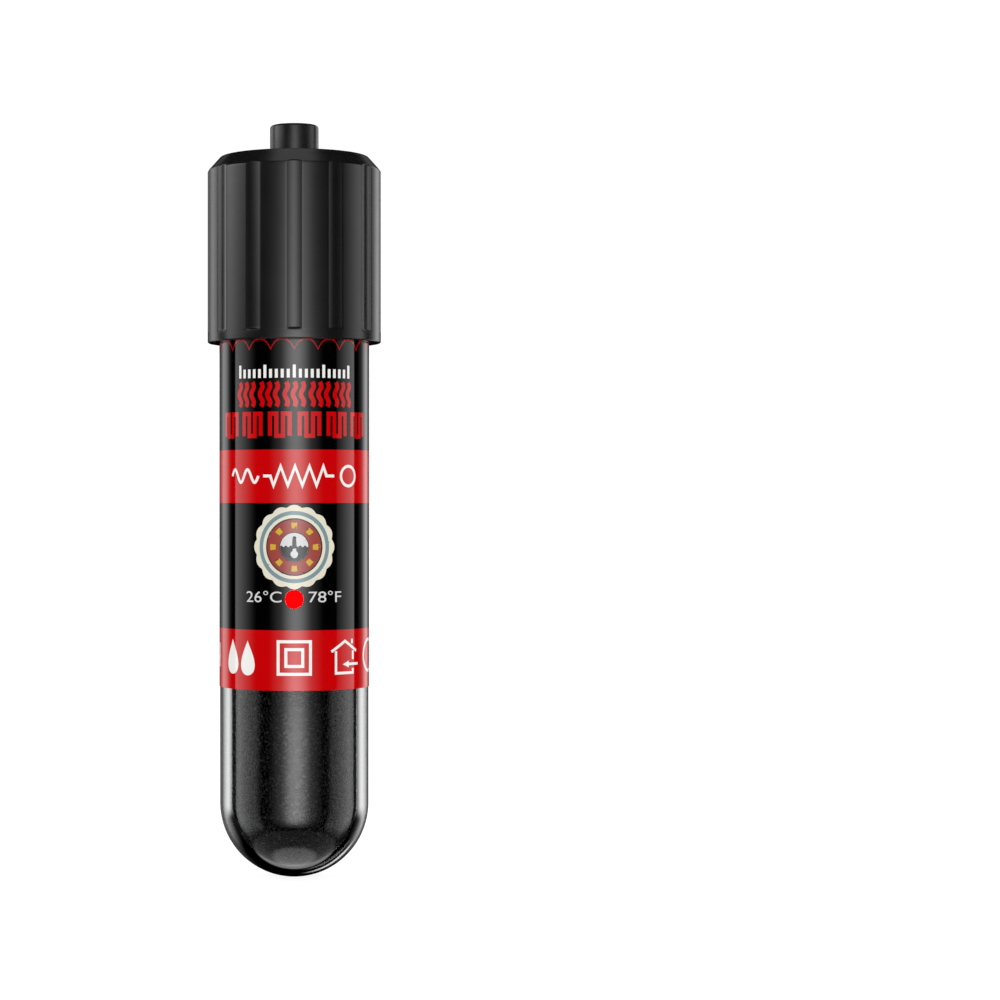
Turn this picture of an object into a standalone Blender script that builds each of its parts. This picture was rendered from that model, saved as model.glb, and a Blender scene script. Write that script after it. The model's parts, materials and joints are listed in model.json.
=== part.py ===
"""A small submersible aquarium heater, modelled piece by piece as it would come apart on a bench.

Metres, +Z up. The tube's axis is Z, the lowest point of the glass is the origin, and the indicator faces -Y.
From the bottom up the heater holds a heating core in sand, a thermostat on a board, a plug that closes the
glass, and a fluted cap that screws down over it.
"""

import math

import bmesh
import bpy
from mathutils import Matrix, Vector

for old in list(bpy.data.objects):
    bpy.data.objects.remove(old, do_unlink=True)

MM = 0.001

# Glass tube and its printed sleeve
TUBE_RADIUS = 9.97 * MM
TUBE_WALL = 1.5 * MM
TUBE_MOUTH = 77.0 * MM
SLEEVE_BOTTOM = 25.6 * MM
SLEEVE_TOP = 74.0 * MM
SLEEVE_GAP = 0.03 * MM
SLEEVE_FILM = 0.06 * MM
BORE_RADIUS = TUBE_RADIUS - TUBE_WALL

# Screw cap
CAP_RADIUS = 11.66 * MM
CAP_BOTTOM = 71.6 * MM
CAP_TOP = 96.55 * MM
CAP_CHAMFER_RADIUS = 9.95 * MM
CAP_CHAMFER_HEIGHT = 1.9 * MM
CAP_ROOF = 2.55 * MM
SKIRT_BORE = 10.3 * MM
SKIRT_DEPTH = 8.4 * MM
FLUTES = 13
FLUTE_DEPTH = 0.33 * MM
FLUTE_WIDTH = 2.1 * MM
FLUTE_START = 1.2 * MM

# Thread between the cap and the tube head, right-handed
THREAD_PITCH = 2.0 * MM
THREAD_START = 82.5 * MM
HEAD_THREAD_TURNS = 2.5
CAP_THREAD_TURNS = 2.0
THREAD_BORE = 9.9 * MM
NECK_RADIUS = 9.15 * MM
RIDGE_HEIGHT = 0.5 * MM
RIDGE_ROOT = 0.7 * MM
RIDGE_CREST = 0.4 * MM
THREAD_PHASE = math.radians(4)

# Cord gland
GLAND_RADIUS = 3.26 * MM
GLAND_TOP = 100.85 * MM
GLAND_BORE = 1.75 * MM
ROOF_HOLE = 3.6 * MM

# Tube head, with its spigot in the glass and its neck in the cap
SPIGOT_RADIUS = 8.25 * MM
SPIGOT_BOTTOM = 66.0 * MM
CUP_RADIUS = 6.0 * MM
CUP_FLOOR = 68.0 * MM
POTTING_TOP = 90.6 * MM
FLANGE_THICKNESS = 1.9 * MM
NECK_TOP = 92.0 * MM
O_RING_HEIGHTS = {"lower_o_ring": 70.2 * MM, "upper_o_ring": 74.2 * MM}
O_RING_SECTION = 0.57 * MM
GROOVE_FLOOR = 7.2 * MM
GROOVE_WIDTH = 1.7 * MM

# Heating core
CORE_RADIUS = 3.0 * MM
CORE_BOTTOM = 4.4 * MM
CORE_TOP = 31.5 * MM
CORE_COLLAR = 4.2 * MM
COIL_PITCH = 2.4 * MM
COIL_TURNS = 9
COIL_WIRE = 0.25 * MM
LEAD_SPREAD = 1.2 * MM
LEAD_RADIUS = 0.4 * MM
SAND_TOP = 33.3 * MM
MICA_THICKNESS = 1.0 * MM

# Control board and thermostat
BOARD_FRONT = 0.7 * MM
BOARD_THICKNESS = 1.0 * MM
BOARD_BOTTOM = 34.9 * MM
BOARD_TOP = 65.6 * MM
BOARD_HALF_WIDTH = 6.3 * MM
LED_HEIGHT = 37.56 * MM
LED_RADIUS = 1.5 * MM
WINDOW_RADIUS = 1.2 * MM
BLADE_HINGE = Vector((0, -3.0 * MM, 46.9 * MM))
BLADE_WIDTH = 4.0 * MM
BLADE_THICKNESS = 0.3 * MM
CONTACT_HEIGHT = 60.5 * MM
SCREW_HEIGHT = 54.5 * MM

FIT = 0.1 * MM
AROUND = 40
SMALL_AROUND = 16
COINCIDENT = 1e-7
FORWARD = (math.pi / 2, 0, 0)

# Base colour, roughness, metallic, transmission
STUFFS = {
    "black_plastic": ((0.022, 0.022, 0.024), 0.38, 0.0, 0.0),
    "black_rubber": ((0.025, 0.025, 0.026), 0.6, 0.0, 0.0),
    "glass": ((1.0, 1.0, 1.0), 0.02, 0.0, 1.0),
    "printed_film": ((0.03, 0.003, 0.005), 0.2, 0.0, 0.0),
    "red_lens": ((1.0, 0.01, 0.01), 0.15, 0.0, 0.0),
    "black_sand": ((0.02, 0.02, 0.021), 0.7, 0.0, 0.0),
    "silicone": ((0.55, 0.12, 0.08), 0.5, 0.0, 0.0),
    "epoxy": ((0.04, 0.04, 0.045), 0.3, 0.0, 0.0),
    "board": ((0.05, 0.2, 0.09), 0.45, 0.0, 0.0),
    "white_ceramic": ((0.82, 0.79, 0.72), 0.55, 0.0, 0.0),
    "mica": ((0.62, 0.55, 0.42), 0.35, 0.0, 0.0),
    "brass": ((0.8, 0.58, 0.25), 0.3, 1.0, 0.0),
    "steel": ((0.6, 0.6, 0.6), 0.35, 1.0, 0.0),
    "silver": ((0.85, 0.85, 0.84), 0.25, 1.0, 0.0),
    "resistance_wire": ((0.42, 0.38, 0.35), 0.4, 1.0, 0.0),
    "ferrite": ((0.06, 0.06, 0.065), 0.5, 0.0, 0.0),
    "lead_sleeve": ((0.85, 0.83, 0.78), 0.6, 0.0, 0.0),
}


def material(name, stuff):
    """A Principled material of its own for one piece."""
    colour, roughness, metallic, transmission = STUFFS[stuff]
    made = bpy.data.materials.new(name)
    made.use_nodes = True
    shader = made.node_tree.nodes["Principled BSDF"]
    shader.inputs["Base Color"].default_value = (*colour, 1)
    shader.inputs["Roughness"].default_value = roughness
    shader.inputs["Metallic"].default_value = metallic
    shader.inputs["Transmission Weight"].default_value = transmission
    return made


def place(obj, at=(0, 0, 0), turn=(0, 0, 0), parent=None):
    """Puts an object at a place in the world, under its parent if it has one."""
    bpy.context.scene.collection.objects.link(obj)
    obj.location = Vector(at) - (parent.location if parent else Vector())
    obj.rotation_euler = turn
    obj.parent = parent
    return obj


def add(name, bm, stuff, at=(0, 0, 0), turn=(0, 0, 0), parent=None):
    """Makes a bmesh into a named piece, smooth except at its sharp edges."""
    mesh = bpy.data.meshes.new(name)
    bm.to_mesh(mesh)
    bm.free()
    mesh.shade_smooth()
    mesh.set_sharp_from_angle(angle=math.radians(35))
    mesh.materials.append(material(name, stuff))
    return place(bpy.data.objects.new(name, mesh), at, turn, parent)


def arc(centre, radius, start, stop, steps):
    """(radius, height) points along an arc, with its angles in degrees from the outward direction."""
    angles = [math.radians(start + (stop - start) * i / steps) for i in range(steps + 1)]
    return [(centre[0] + radius * math.cos(a), centre[1] + radius * math.sin(a)) for a in angles]


def turned(outline, steps=AROUND):
    """Turns (radius, height) points about Z. An outline with both ends on the axis needs no closing edge."""
    bm = bmesh.new()
    on_axis = outline[0][0] == 0 and outline[-1][0] == 0
    verts = [bm.verts.new((radius, 0, height)) for radius, height in outline]
    ends = verts[1:] if on_axis else verts[1:] + verts[:1]
    edges = [bm.edges.new(pair) for pair in zip(verts, ends)]
    bmesh.ops.spin(
        bm, geom=verts + edges, cent=(0, 0, 0), axis=(0, 0, 1), angle=math.tau, steps=steps
    )
    bmesh.ops.remove_doubles(bm, verts=bm.verts, dist=COINCIDENT)
    bmesh.ops.recalc_face_normals(bm, faces=bm.faces)
    return bm


def ring(inner, outer, bottom, top, steps=AROUND):
    """A plain ring of rectangular section."""
    return turned([(inner, bottom), (outer, bottom), (outer, top), (inner, top)], steps)


def rod(radius, bottom, top, steps=SMALL_AROUND):
    return turned([(0, bottom), (radius, bottom), (radius, top), (0, top)], steps)


def block(low, high):
    """A box between two corners."""
    low, high = Vector(low), Vector(high)
    bm = bmesh.new()
    size = Matrix.Diagonal((*(high - low), 1))
    bmesh.ops.create_cube(bm, size=1, matrix=Matrix.Translation((low + high) / 2) @ size)
    return bm


def strip(outline, width):
    """A (y, z) outline made solid along X, with its width centred on x = 0."""
    bm = bmesh.new()
    face = bm.faces.new([bm.verts.new((-width / 2, y, z)) for y, z in outline])
    made = bmesh.ops.extrude_face_region(bm, geom=[face])
    moved = [v for v in made["geom"] if isinstance(v, bmesh.types.BMVert)]
    bmesh.ops.translate(bm, verts=moved, vec=(width, 0, 0))
    bmesh.ops.recalc_face_normals(bm, faces=bm.faces)
    return bm


def thread_ridge(root, crest, start, turns, steps=24):
    """A helical ridge with a trapezium section. It is rooted at one radius and crests at another."""
    bm = bmesh.new()
    section = [
        bm.verts.new((radius, 0, start + side * width / 2))
        for radius, width, side in (
            (root, RIDGE_ROOT, -1), (crest, RIDGE_CREST, -1), (crest, RIDGE_CREST, 1), (root, RIDGE_ROOT, 1)
        )
    ]
    edges = [bm.edges.new(pair) for pair in zip(section, section[1:] + section[:1])]
    bm.faces.new(section)
    count = round(steps * turns)
    made = bmesh.ops.spin(
        bm, geom=section + edges, cent=(0, 0, 0), axis=(0, 0, 1), dvec=(0, 0, THREAD_PITCH / steps),
        angle=math.tau * turns, steps=count,
    )
    last = [v for v in made["geom_last"] if isinstance(v, bmesh.types.BMVert)]
    bmesh.ops.contextual_create(bm, geom=last)
    bmesh.ops.rotate(bm, verts=bm.verts, matrix=Matrix.Rotation(THREAD_PHASE, 3, "Z"))
    bmesh.ops.recalc_face_normals(bm, faces=bm.faces)
    return bm


def bevelled(obj, width, segments=1):
    """Takes the sharp edges off a piece."""
    modifier = obj.modifiers.new("Bevel", "BEVEL")
    modifier.width = width
    modifier.segments = segments
    modifier.limit_method = "ANGLE"
    return obj


def helper(obj):
    """Marks an object that only shapes others."""
    obj.hide_render = True
    obj.display_type = "WIRE"
    return obj


def combine(obj, other, operation):
    """Cuts a helper from a piece, keeps what they share, or joins it on."""
    modifier = obj.modifiers.new(other.name, "BOOLEAN")
    modifier.operation = operation
    modifier.object = helper(other)
    return obj


def wire(name, points, radius, stuff, parent=None, resolution=1):
    """A round wire along points."""
    curve = bpy.data.curves.new(name, "CURVE")
    curve.dimensions = "3D"
    curve.bevel_depth = radius
    curve.bevel_resolution = resolution
    curve.use_fill_caps = True
    spline = curve.splines.new("POLY")
    spline.points.add(len(points) - 1)
    for point, where in zip(spline.points, points):
        point.co = (*where, 1)
    curve.materials.append(material(name, stuff))
    return place(bpy.data.objects.new(name, curve), parent=parent)


def smooth_route(stations, steps=6):
    """Points on a smooth curve through stations, by Catmull-Rom."""
    route = [Vector(s) for s in stations]
    padded = [2 * route[0] - route[1], *route, 2 * route[-1] - route[-2]]
    points = []
    for before, a, b, after in zip(padded, padded[1:], padded[2:], padded[3:]):
        for i in range(steps):
            t = i / steps
            points.append(
                a + t * (b - before) / 2
                + t**2 * (before - 2.5 * a + 2 * b - after / 2)
                + t**3 * (1.5 * (a - b) + (after - before) / 2)
            )
    return points + [route[-1]]


def glass_tube(axis):
    """A test-tube shape: one wall, a round bottom and a fire-polished rim."""
    rim = (TUBE_RADIUS - TUBE_WALL / 2, TUBE_MOUTH - TUBE_WALL / 2)
    outline = (
        [(0, 0)]
        + arc((0, TUBE_RADIUS), TUBE_RADIUS, -90, 0, 9)[1:]
        + arc(rim, TUBE_WALL / 2, 0, 180, 4)
        + arc((0, TUBE_RADIUS), BORE_RADIUS, 0, -90, 7)[:-1]
        + [(0, TUBE_WALL)]
    )
    return add("glass_tube", turned(outline), "glass", parent=axis)


def sleeve_shell():
    inner = TUBE_RADIUS + SLEEVE_GAP
    return ring(inner, inner + SLEEVE_FILM, SLEEVE_BOTTOM, SLEEVE_TOP)


def printed_sleeve(axis):
    """A thin printed film round the glass, with a hole for the indicator."""
    sleeve = add("printed_sleeve", sleeve_shell(), "printed_film", parent=axis)
    hole = add("window_hole", rod(WINDOW_RADIUS + 1.5 * FIT, 0, 2 * TUBE_RADIUS), "steel",
               at=(0, 0, LED_HEIGHT), turn=FORWARD, parent=axis)
    return combine(sleeve, hole, "DIFFERENCE")


def indicator_window(axis):
    """A round red patch of the same film, clear enough for the lamp behind it."""
    window = add("indicator_window", sleeve_shell(), "red_lens", parent=axis)
    plug = add("window_plug", rod(WINDOW_RADIUS, 0, 2 * TUBE_RADIUS), "steel",
               at=(0, 0, LED_HEIGHT), turn=FORWARD, parent=axis)
    return combine(window, plug, "INTERSECT")


def sand_fill(axis):
    """Sand that fills the round bottom, with a well where the core stands."""
    radius = BORE_RADIUS - 0.7 * FIT
    well = CORE_COLLAR + 4 * FIT
    floor = CORE_BOTTOM - 5 * FIT
    outline = (
        [(0, TUBE_RADIUS - radius)]
        + arc((0, TUBE_RADIUS), radius, -90, 0, 7)[1:]
        + [(radius, SAND_TOP), (well, SAND_TOP), (well, floor), (0, floor)]
    )
    return add("sand_fill", turned(outline), "black_sand", parent=axis)


def ceramic_core(axis):
    """A bobbin with a collar at each end and two bores for the leads."""
    collar = 1.5 * MM
    outline = [
        (0, CORE_BOTTOM), (CORE_COLLAR, CORE_BOTTOM), (CORE_COLLAR, CORE_BOTTOM + collar),
        (CORE_RADIUS, CORE_BOTTOM + collar), (CORE_RADIUS, CORE_TOP - collar),
        (CORE_COLLAR, CORE_TOP - collar), (CORE_COLLAR, CORE_TOP), (0, CORE_TOP),
    ]
    core = add("ceramic_core", turned(outline, 24), "white_ceramic", parent=axis)
    for side in (-1, 1):
        bore = add(f"core_bore_{side}", rod(LEAD_RADIUS + 3 * FIT, 0, SAND_TOP, 12), "steel",
                   at=(side * LEAD_SPREAD, 0, 0), parent=axis)
        combine(core, bore, "DIFFERENCE")
    return core


def heating_coil(axis):
    """Resistance wire wound on the core between its collars."""
    radius = CORE_RADIUS + COIL_WIRE + 1.5 * FIT
    steps = 10
    bottom = (CORE_BOTTOM + CORE_TOP - COIL_TURNS * COIL_PITCH) / 2
    points = []
    for i in range(COIL_TURNS * steps + 1):
        angle = math.tau * i / steps
        height = bottom + COIL_PITCH * i / steps
        points.append((radius * math.cos(angle), radius * math.sin(angle), height))
    return wire("heating_coil", points, COIL_WIRE, "resistance_wire", axis)


def mica_disc(axis):
    """Closes the sand chamber, with two holes for the leads."""
    bottom = SAND_TOP + 3 * FIT
    disc = rod(BORE_RADIUS - 2 * FIT, bottom, bottom + MICA_THICKNESS, AROUND)
    disc = add("mica_disc", disc, "mica", parent=axis)
    for side in (-1, 1):
        hole = add(f"mica_hole_{side}", rod(LEAD_RADIUS + 2 * FIT, bottom - MM, bottom + 2 * MM, 12),
                   "steel", at=(side * LEAD_SPREAD, 0, 0), parent=axis)
        combine(disc, hole, "DIFFERENCE")
    return disc


def heater_leads(axis):
    """Two sleeved leads from the board down into the core's bores."""
    for name, side, end in (("left_heater_lead", -1, 8.0 * MM), ("right_heater_lead", 1, 26.0 * MM)):
        stations = [
            (side * LEAD_SPREAD, 0, end),
            (side * LEAD_SPREAD, 0, 33.0 * MM),
            (side * LEAD_SPREAD, 0, 35.4 * MM),
            (side * 3.1 * MM, -0.1 * MM, 37.8 * MM),
            (side * 4.3 * MM, -0.3 * MM, 40.4 * MM),
            (side * 4.6 * MM, -0.3 * MM, 43.0 * MM),
        ]
        wire(name, smooth_route(stations, 4), LEAD_RADIUS, "lead_sleeve", axis)


def control_board(axis):
    """A board with a tongue that slots into the tube head, and a hole for the calibration screw."""
    tongue_half, tongue_top = 4.3 * MM, 67.0 * MM
    outline = [
        (-BOARD_HALF_WIDTH, BOARD_BOTTOM), (BOARD_HALF_WIDTH, BOARD_BOTTOM), (BOARD_HALF_WIDTH, BOARD_TOP),
        (tongue_half, BOARD_TOP), (tongue_half, tongue_top), (-tongue_half, tongue_top),
        (-tongue_half, BOARD_TOP), (-BOARD_HALF_WIDTH, BOARD_TOP),
    ]
    board = add("control_board", strip(outline, BOARD_THICKNESS), "board",
                at=(0, BOARD_FRONT + BOARD_THICKNESS / 2, 0), turn=(0, 0, math.pi / 2), parent=axis)
    hole = add("board_screw_hole", rod(0.9 * MM, -5 * MM, 5 * MM), "steel",
               at=(0, 0, SCREW_HEIGHT), turn=FORWARD, parent=axis)
    return combine(board, hole, "DIFFERENCE")


def cord_terminals(axis):
    """A crimp ferrule for each core of the cord, open at the top."""
    low, high, floor = 60.0 * MM, 64.5 * MM, 61.0 * MM
    radius, bore = 0.9 * MM, 0.55 * MM
    outline = [(0, low), (radius, low), (radius, high), (bore, high), (bore, floor), (0, floor)]
    for name, side in (("left_cord_terminal", -1), ("right_cord_terminal", 1)):
        add(name, turned(outline, 12), "brass", at=(side * 4.6 * MM, -0.5 * MM, 0), parent=axis)


def indicator_led(axis):
    """A round lamp that points at the window, with two legs to the board."""
    flange, back, dome = 1.9 * MM, 2.6 * MM, 7.6 * MM - LED_RADIUS
    outline = (
        [(0, back), (flange, back), (flange, back + 1.0 * MM), (LED_RADIUS, back + 1.0 * MM)]
        + arc((0, dome), LED_RADIUS, 0, 90, 4)[:-1]
        + [(0, dome + LED_RADIUS)]
    )
    led = add("indicator_led", turned(outline, SMALL_AROUND), "red_lens",
              at=(0, 0, LED_HEIGHT), turn=FORWARD, parent=axis)
    for side in (-1, 1):
        leg = add(f"led_leg_{side}", rod(0.25 * MM, -0.4 * MM, back + 0.5 * MM, 8), "steel",
                  at=(side * 1.27 * MM, 0, LED_HEIGHT), turn=FORWARD, parent=axis)
        combine(led, leg, "UNION")
    return led


def led_shroud(axis):
    """A short tube round the lamp that stops at the glass."""
    return add("led_shroud", ring(LED_RADIUS + FIT, 2.3 * MM, 3.75 * MM, 7.9 * MM, SMALL_AROUND),
               "black_rubber", at=(0, 0, LED_HEIGHT), turn=FORWARD, parent=axis)


def axial_outline(body, half, lead, reach):
    """A round body with a lead out of each end, about its own middle."""
    end = half + reach
    lower = [(0, -end), (lead, -end), (lead, -half), (body, -half)]
    return lower + [(radius, -height) for radius, height in reversed(lower)]


def board_parts(axis):
    """The lamp's resistor and diode in front of the board, and the thermal fuse behind it."""
    for name, stuff, at, body, half, lead in (
        ("series_resistor", "white_ceramic", (4.7, -0.75, 50.5), 1.0 * MM, 3.0 * MM, 0.25 * MM),
        ("blocking_diode", "epoxy", (-4.7, -0.75, 50.5), 1.0 * MM, 2.25 * MM, 0.3 * MM),
        ("thermal_fuse", "steel", (-3.4, 3.3, 48.0), 1.1 * MM, 4.25 * MM, 0.3 * MM),
    ):
        outline = axial_outline(body, half, lead, 3 * MM)
        add(name, turned(outline, SMALL_AROUND), stuff, at=Vector(at) * MM, parent=axis)


def thermostat_base(axis):
    """A ceramic block on the board, with a notch in its top where the blade is rooted."""
    half, front, bottom, top = 3.2 * MM, -4.4 * MM, 43.4 * MM, 47.6 * MM
    base = add("thermostat_base", block((-half, front, bottom), (half, BOARD_FRONT - FIT, top)),
               "white_ceramic", parent=axis)
    notch = block((-BLADE_WIDTH / 2 - 2 * FIT, BLADE_HINGE.y - 4 * FIT, BLADE_HINGE.z - 6 * FIT),
                  (BLADE_WIDTH / 2 + 2 * FIT, BLADE_HINGE.y + 4 * FIT, top + MM))
    combine(bevelled(base, 3 * FIT), add("blade_notch", notch, "steel", parent=axis), "DIFFERENCE")


def rivet(head, thickness, shank, through, tail):
    """A contact rivet about Z: its head below z = 0, and its shank and formed tail above."""
    outline = [
        (0, -thickness), (head * 0.8, -thickness), (head, -thickness * 0.6), (head, 0), (shank, 0),
        (shank, through), (tail, through), (tail, through + thickness / 2), (0, through + thickness / 2),
    ]
    return turned(outline, SMALL_AROUND)


def thermostat(axis, hinge):
    """A blade that carries one contact, and an arm on the board that carries the other."""
    half = BLADE_THICKNESS / 2
    shank, gap = 0.45 * MM, 0.5 * FIT
    blade_outline = [(-half, -0.3 * MM), (half, -0.3 * MM), (half, 15.4 * MM), (-half, 15.4 * MM)]
    blade = add("bimetal_blade", strip(blade_outline, BLADE_WIDTH), "steel", at=BLADE_HINGE, parent=hinge)
    blade_hole = add("blade_rivet_hole", rod(shank + gap, -MM, MM), "steel",
                     at=(0, BLADE_HINGE.y, CONTACT_HEIGHT), turn=FORWARD, parent=hinge)
    combine(blade, blade_hole, "DIFFERENCE")
    add("moving_contact", rivet(1.0 * MM, 0.4 * MM, shank, BLADE_THICKNESS + 2 * gap, 0.8 * MM), "silver",
        at=(0, BLADE_HINGE.y + half + gap, CONTACT_HEIGHT), turn=FORWARD, parent=hinge)

    # The arm stands off the board, far enough forward for the two contacts to meet.
    sheet = 0.4 * MM
    meeting = BLADE_HINGE.y + half + gap + 0.4 * MM + gap
    arm_front = meeting + 0.5 * MM + gap
    arm_back = BOARD_FRONT - FIT
    step, foot, top = 57.0 * MM, 52.0 * MM, 62.0 * MM
    arm_outline = [
        (arm_front, step - sheet), (arm_back - sheet, step - sheet), (arm_back - sheet, foot),
        (arm_back, foot), (arm_back, step), (arm_front + sheet, step), (arm_front + sheet, top),
        (arm_front, top),
    ]
    arm = add("contact_arm", strip(arm_outline, BLADE_WIDTH), "brass", parent=axis)
    for name, radius, height in (("arm_rivet_hole", shank + gap, CONTACT_HEIGHT),
                                 ("arm_screw_hole", 0.9 * MM, SCREW_HEIGHT)):
        hole = add(name, rod(radius, -2 * MM, 3 * MM), "steel", at=(0, 0, height), turn=FORWARD, parent=axis)
        combine(arm, hole, "DIFFERENCE")
    add("fixed_contact", rivet(1.0 * MM, 0.5 * MM, shank, sheet + 2 * gap, 0.8 * MM), "silver",
        at=(0, arm_front - gap, CONTACT_HEIGHT), turn=(-math.pi / 2, 0, 0), parent=axis)
    magnet = block((-1.5 * MM, arm_front - 0.65 * MM, 57.3 * MM), (1.5 * MM, arm_front - gap, 59.1 * MM))
    add("snap_magnet", magnet, "ferrite", parent=axis)


def calibration_screw(axis):
    """A cheese-head screw through the board and the arm that bears on the blade."""
    head, shank, thick = 1.5 * MM, 0.7 * MM, 1.1 * MM
    under_head = -(BOARD_FRONT + BOARD_THICKNESS + FIT)
    back = under_head - thick
    tip = -(BLADE_HINGE.y + BLADE_THICKNESS / 2 + FIT)
    outline = [
        (0, back), (head, back), (head, under_head), (shank, under_head),
        (shank, tip - 0.4 * MM), (shank * 0.6, tip), (0, tip),
    ]
    screw = add("calibration_screw", turned(outline, SMALL_AROUND), "brass",
                at=(0, 0, SCREW_HEIGHT), turn=FORWARD, parent=axis)
    slot = block((-2 * MM, -back - 0.5 * MM, -0.2 * MM), (2 * MM, -back + MM, 0.2 * MM))
    slot = add("screw_slot", slot, "steel", at=(0, 0, SCREW_HEIGHT), parent=axis)
    return combine(screw, slot, "DIFFERENCE")


def tube_head(axis):
    """The glass's plug: a grooved spigot, a flange on the rim, and a threaded neck round a cup."""
    outline = [(2.0 * MM, SPIGOT_BOTTOM), (SPIGOT_RADIUS, SPIGOT_BOTTOM)]
    for height in O_RING_HEIGHTS.values():
        low, high = height - GROOVE_WIDTH / 2, height + GROOVE_WIDTH / 2
        outline += [(SPIGOT_RADIUS, low), (GROOVE_FLOOR, low), (GROOVE_FLOOR, high), (SPIGOT_RADIUS, high)]
    flange = TUBE_MOUTH + FIT
    outline += [
        (SPIGOT_RADIUS, flange), (TUBE_RADIUS, flange), (TUBE_RADIUS, flange + FLANGE_THICKNESS),
        (NECK_RADIUS, flange + FLANGE_THICKNESS), (NECK_RADIUS, NECK_TOP), (CUP_RADIUS, NECK_TOP),
        (CUP_RADIUS, CUP_FLOOR), (2.0 * MM, CUP_FLOOR),
    ]
    head = add("tube_head", turned(outline), "black_plastic", parent=axis)
    ridge = thread_ridge(NECK_RADIUS - 3 * FIT, NECK_RADIUS + RIDGE_HEIGHT, THREAD_START, HEAD_THREAD_TURNS)
    combine(head, add("head_thread", ridge, "steel", parent=axis), "UNION")
    slot = block((-4.6 * MM, BOARD_FRONT - 1.5 * FIT, SPIGOT_BOTTOM - MM),
                 (4.6 * MM, BOARD_FRONT + BOARD_THICKNESS + 1.5 * FIT, SPIGOT_BOTTOM + 1.2 * MM))
    return combine(head, add("board_slot", slot, "steel", parent=axis), "DIFFERENCE")


def seals(axis):
    """Two O-rings on the spigot, the cap's gasket, and the potting round the cord's passage."""
    middle = GROOVE_FLOOR + 0.5 * FIT + O_RING_SECTION
    for name, height in O_RING_HEIGHTS.items():
        section = arc((middle, height), O_RING_SECTION, 30, 330, 5)
        add(name, turned(section), "silicone", parent=axis)
    roof = CAP_TOP - CAP_ROOF
    add("cap_gasket", ring(6.6 * MM, 9.0 * MM, NECK_TOP + FIT, roof - FIT), "silicone", parent=axis)
    potting = ring(GLAND_BORE + FIT, CUP_RADIUS - FIT, CUP_FLOOR + FIT, POTTING_TOP)
    add("potting_plug", potting, "epoxy", parent=axis)


def cord_gland(axis):
    """A rubber bush that stands through the cap's roof, with a washer under its flange.

    Both rise with the cap but do not turn. The bush keeps clear of the roof's hole, so the cap's top is a
    plain flat ring on which nothing overhangs."""
    roof = CAP_TOP - CAP_ROOF
    lip, flange = 3.42 * MM, 4.6 * MM
    foot, lip_top = roof - 1.3 * MM, CAP_TOP + 0.35 * MM
    edge, mouth = 0.35 * MM, 0.2 * MM
    outline = [
        (GLAND_BORE, foot), (flange, foot), (flange, roof - FIT), (lip, roof - FIT),
        (lip, lip_top), (GLAND_RADIUS, lip_top + 0.2 * MM),
        (GLAND_RADIUS, GLAND_TOP - edge), (GLAND_RADIUS - edge, GLAND_TOP),
        (GLAND_BORE + mouth, GLAND_TOP), (GLAND_BORE, GLAND_TOP - mouth),
    ]
    add("cord_gland", turned(outline, 32), "black_rubber", parent=axis)
    top = foot - FIT
    washer = ring(GLAND_BORE + 2 * FIT, 5.6 * MM, top - 0.8 * MM, top, 32)
    add("gland_washer", washer, "steel", parent=axis)


def flute_cutters():
    """Round bars that stand round the cap and graze it, each tapered where its flute runs out."""
    half = FLUTE_WIDTH / 2
    edge = math.sqrt(CAP_RADIUS**2 - half**2)
    depth = edge - (CAP_RADIUS - FLUTE_DEPTH)
    radius = (depth**2 + half**2) / (2 * depth)
    low, high, taper = CAP_BOTTOM + FLUTE_START, CAP_TOP + MM, 0.6 * MM
    bar = [(0, low), (radius - FLUTE_DEPTH, low), (radius, low + taper), (radius, high), (0, high)]
    bm = turned(bar, 36)
    bmesh.ops.translate(bm, verts=bm.verts, vec=(0, -(CAP_RADIUS - FLUTE_DEPTH + radius), 0))
    bmesh.ops.spin(
        bm, geom=bm.verts[:] + bm.edges[:] + bm.faces[:], cent=(0, 0, 0), axis=(0, 0, 1),
        angle=math.tau * (FLUTES - 1) / FLUTES, steps=FLUTES - 1, use_duplicate=True,
    )
    return bm


def screw_cap(axis):
    """A hollow cap with a chamfered top, a threaded bore above a plain skirt, and shallow grip flutes."""
    roof, edge = CAP_TOP - CAP_ROOF, 0.2 * MM
    skirt_top = CAP_BOTTOM + SKIRT_DEPTH
    outline = [
        (SKIRT_BORE, CAP_BOTTOM), (CAP_RADIUS - edge, CAP_BOTTOM), (CAP_RADIUS, CAP_BOTTOM + edge),
        (CAP_RADIUS, CAP_TOP - CAP_CHAMFER_HEIGHT), (CAP_CHAMFER_RADIUS, CAP_TOP), (ROOF_HOLE, CAP_TOP),
        (ROOF_HOLE, roof), (THREAD_BORE, roof), (THREAD_BORE, skirt_top + SKIRT_BORE - THREAD_BORE),
        (SKIRT_BORE, skirt_top),
    ]
    cap = add("screw_cap", turned(outline, 6 * FLUTES), "black_plastic", parent=axis)
    combine(cap, add("cap_flutes", flute_cutters(), "steel", parent=axis), "DIFFERENCE")
    ridge = thread_ridge(THREAD_BORE + 2 * FIT, THREAD_BORE - RIDGE_HEIGHT,
                         THREAD_START + THREAD_PITCH / 2, CAP_THREAD_TURNS)
    return combine(cap, add("cap_thread", ridge, "steel", parent=axis), "UNION")


tube_axis = place(bpy.data.objects.new("tube_axis", None))
gland_axis = place(bpy.data.objects.new("gland_axis", None), at=(0, 0, CAP_TOP))
cap_axis = place(bpy.data.objects.new("cap_axis", None), at=(0, 0, CAP_BOTTOM))
blade_hinge = place(bpy.data.objects.new("blade_hinge", None), at=BLADE_HINGE)

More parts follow.
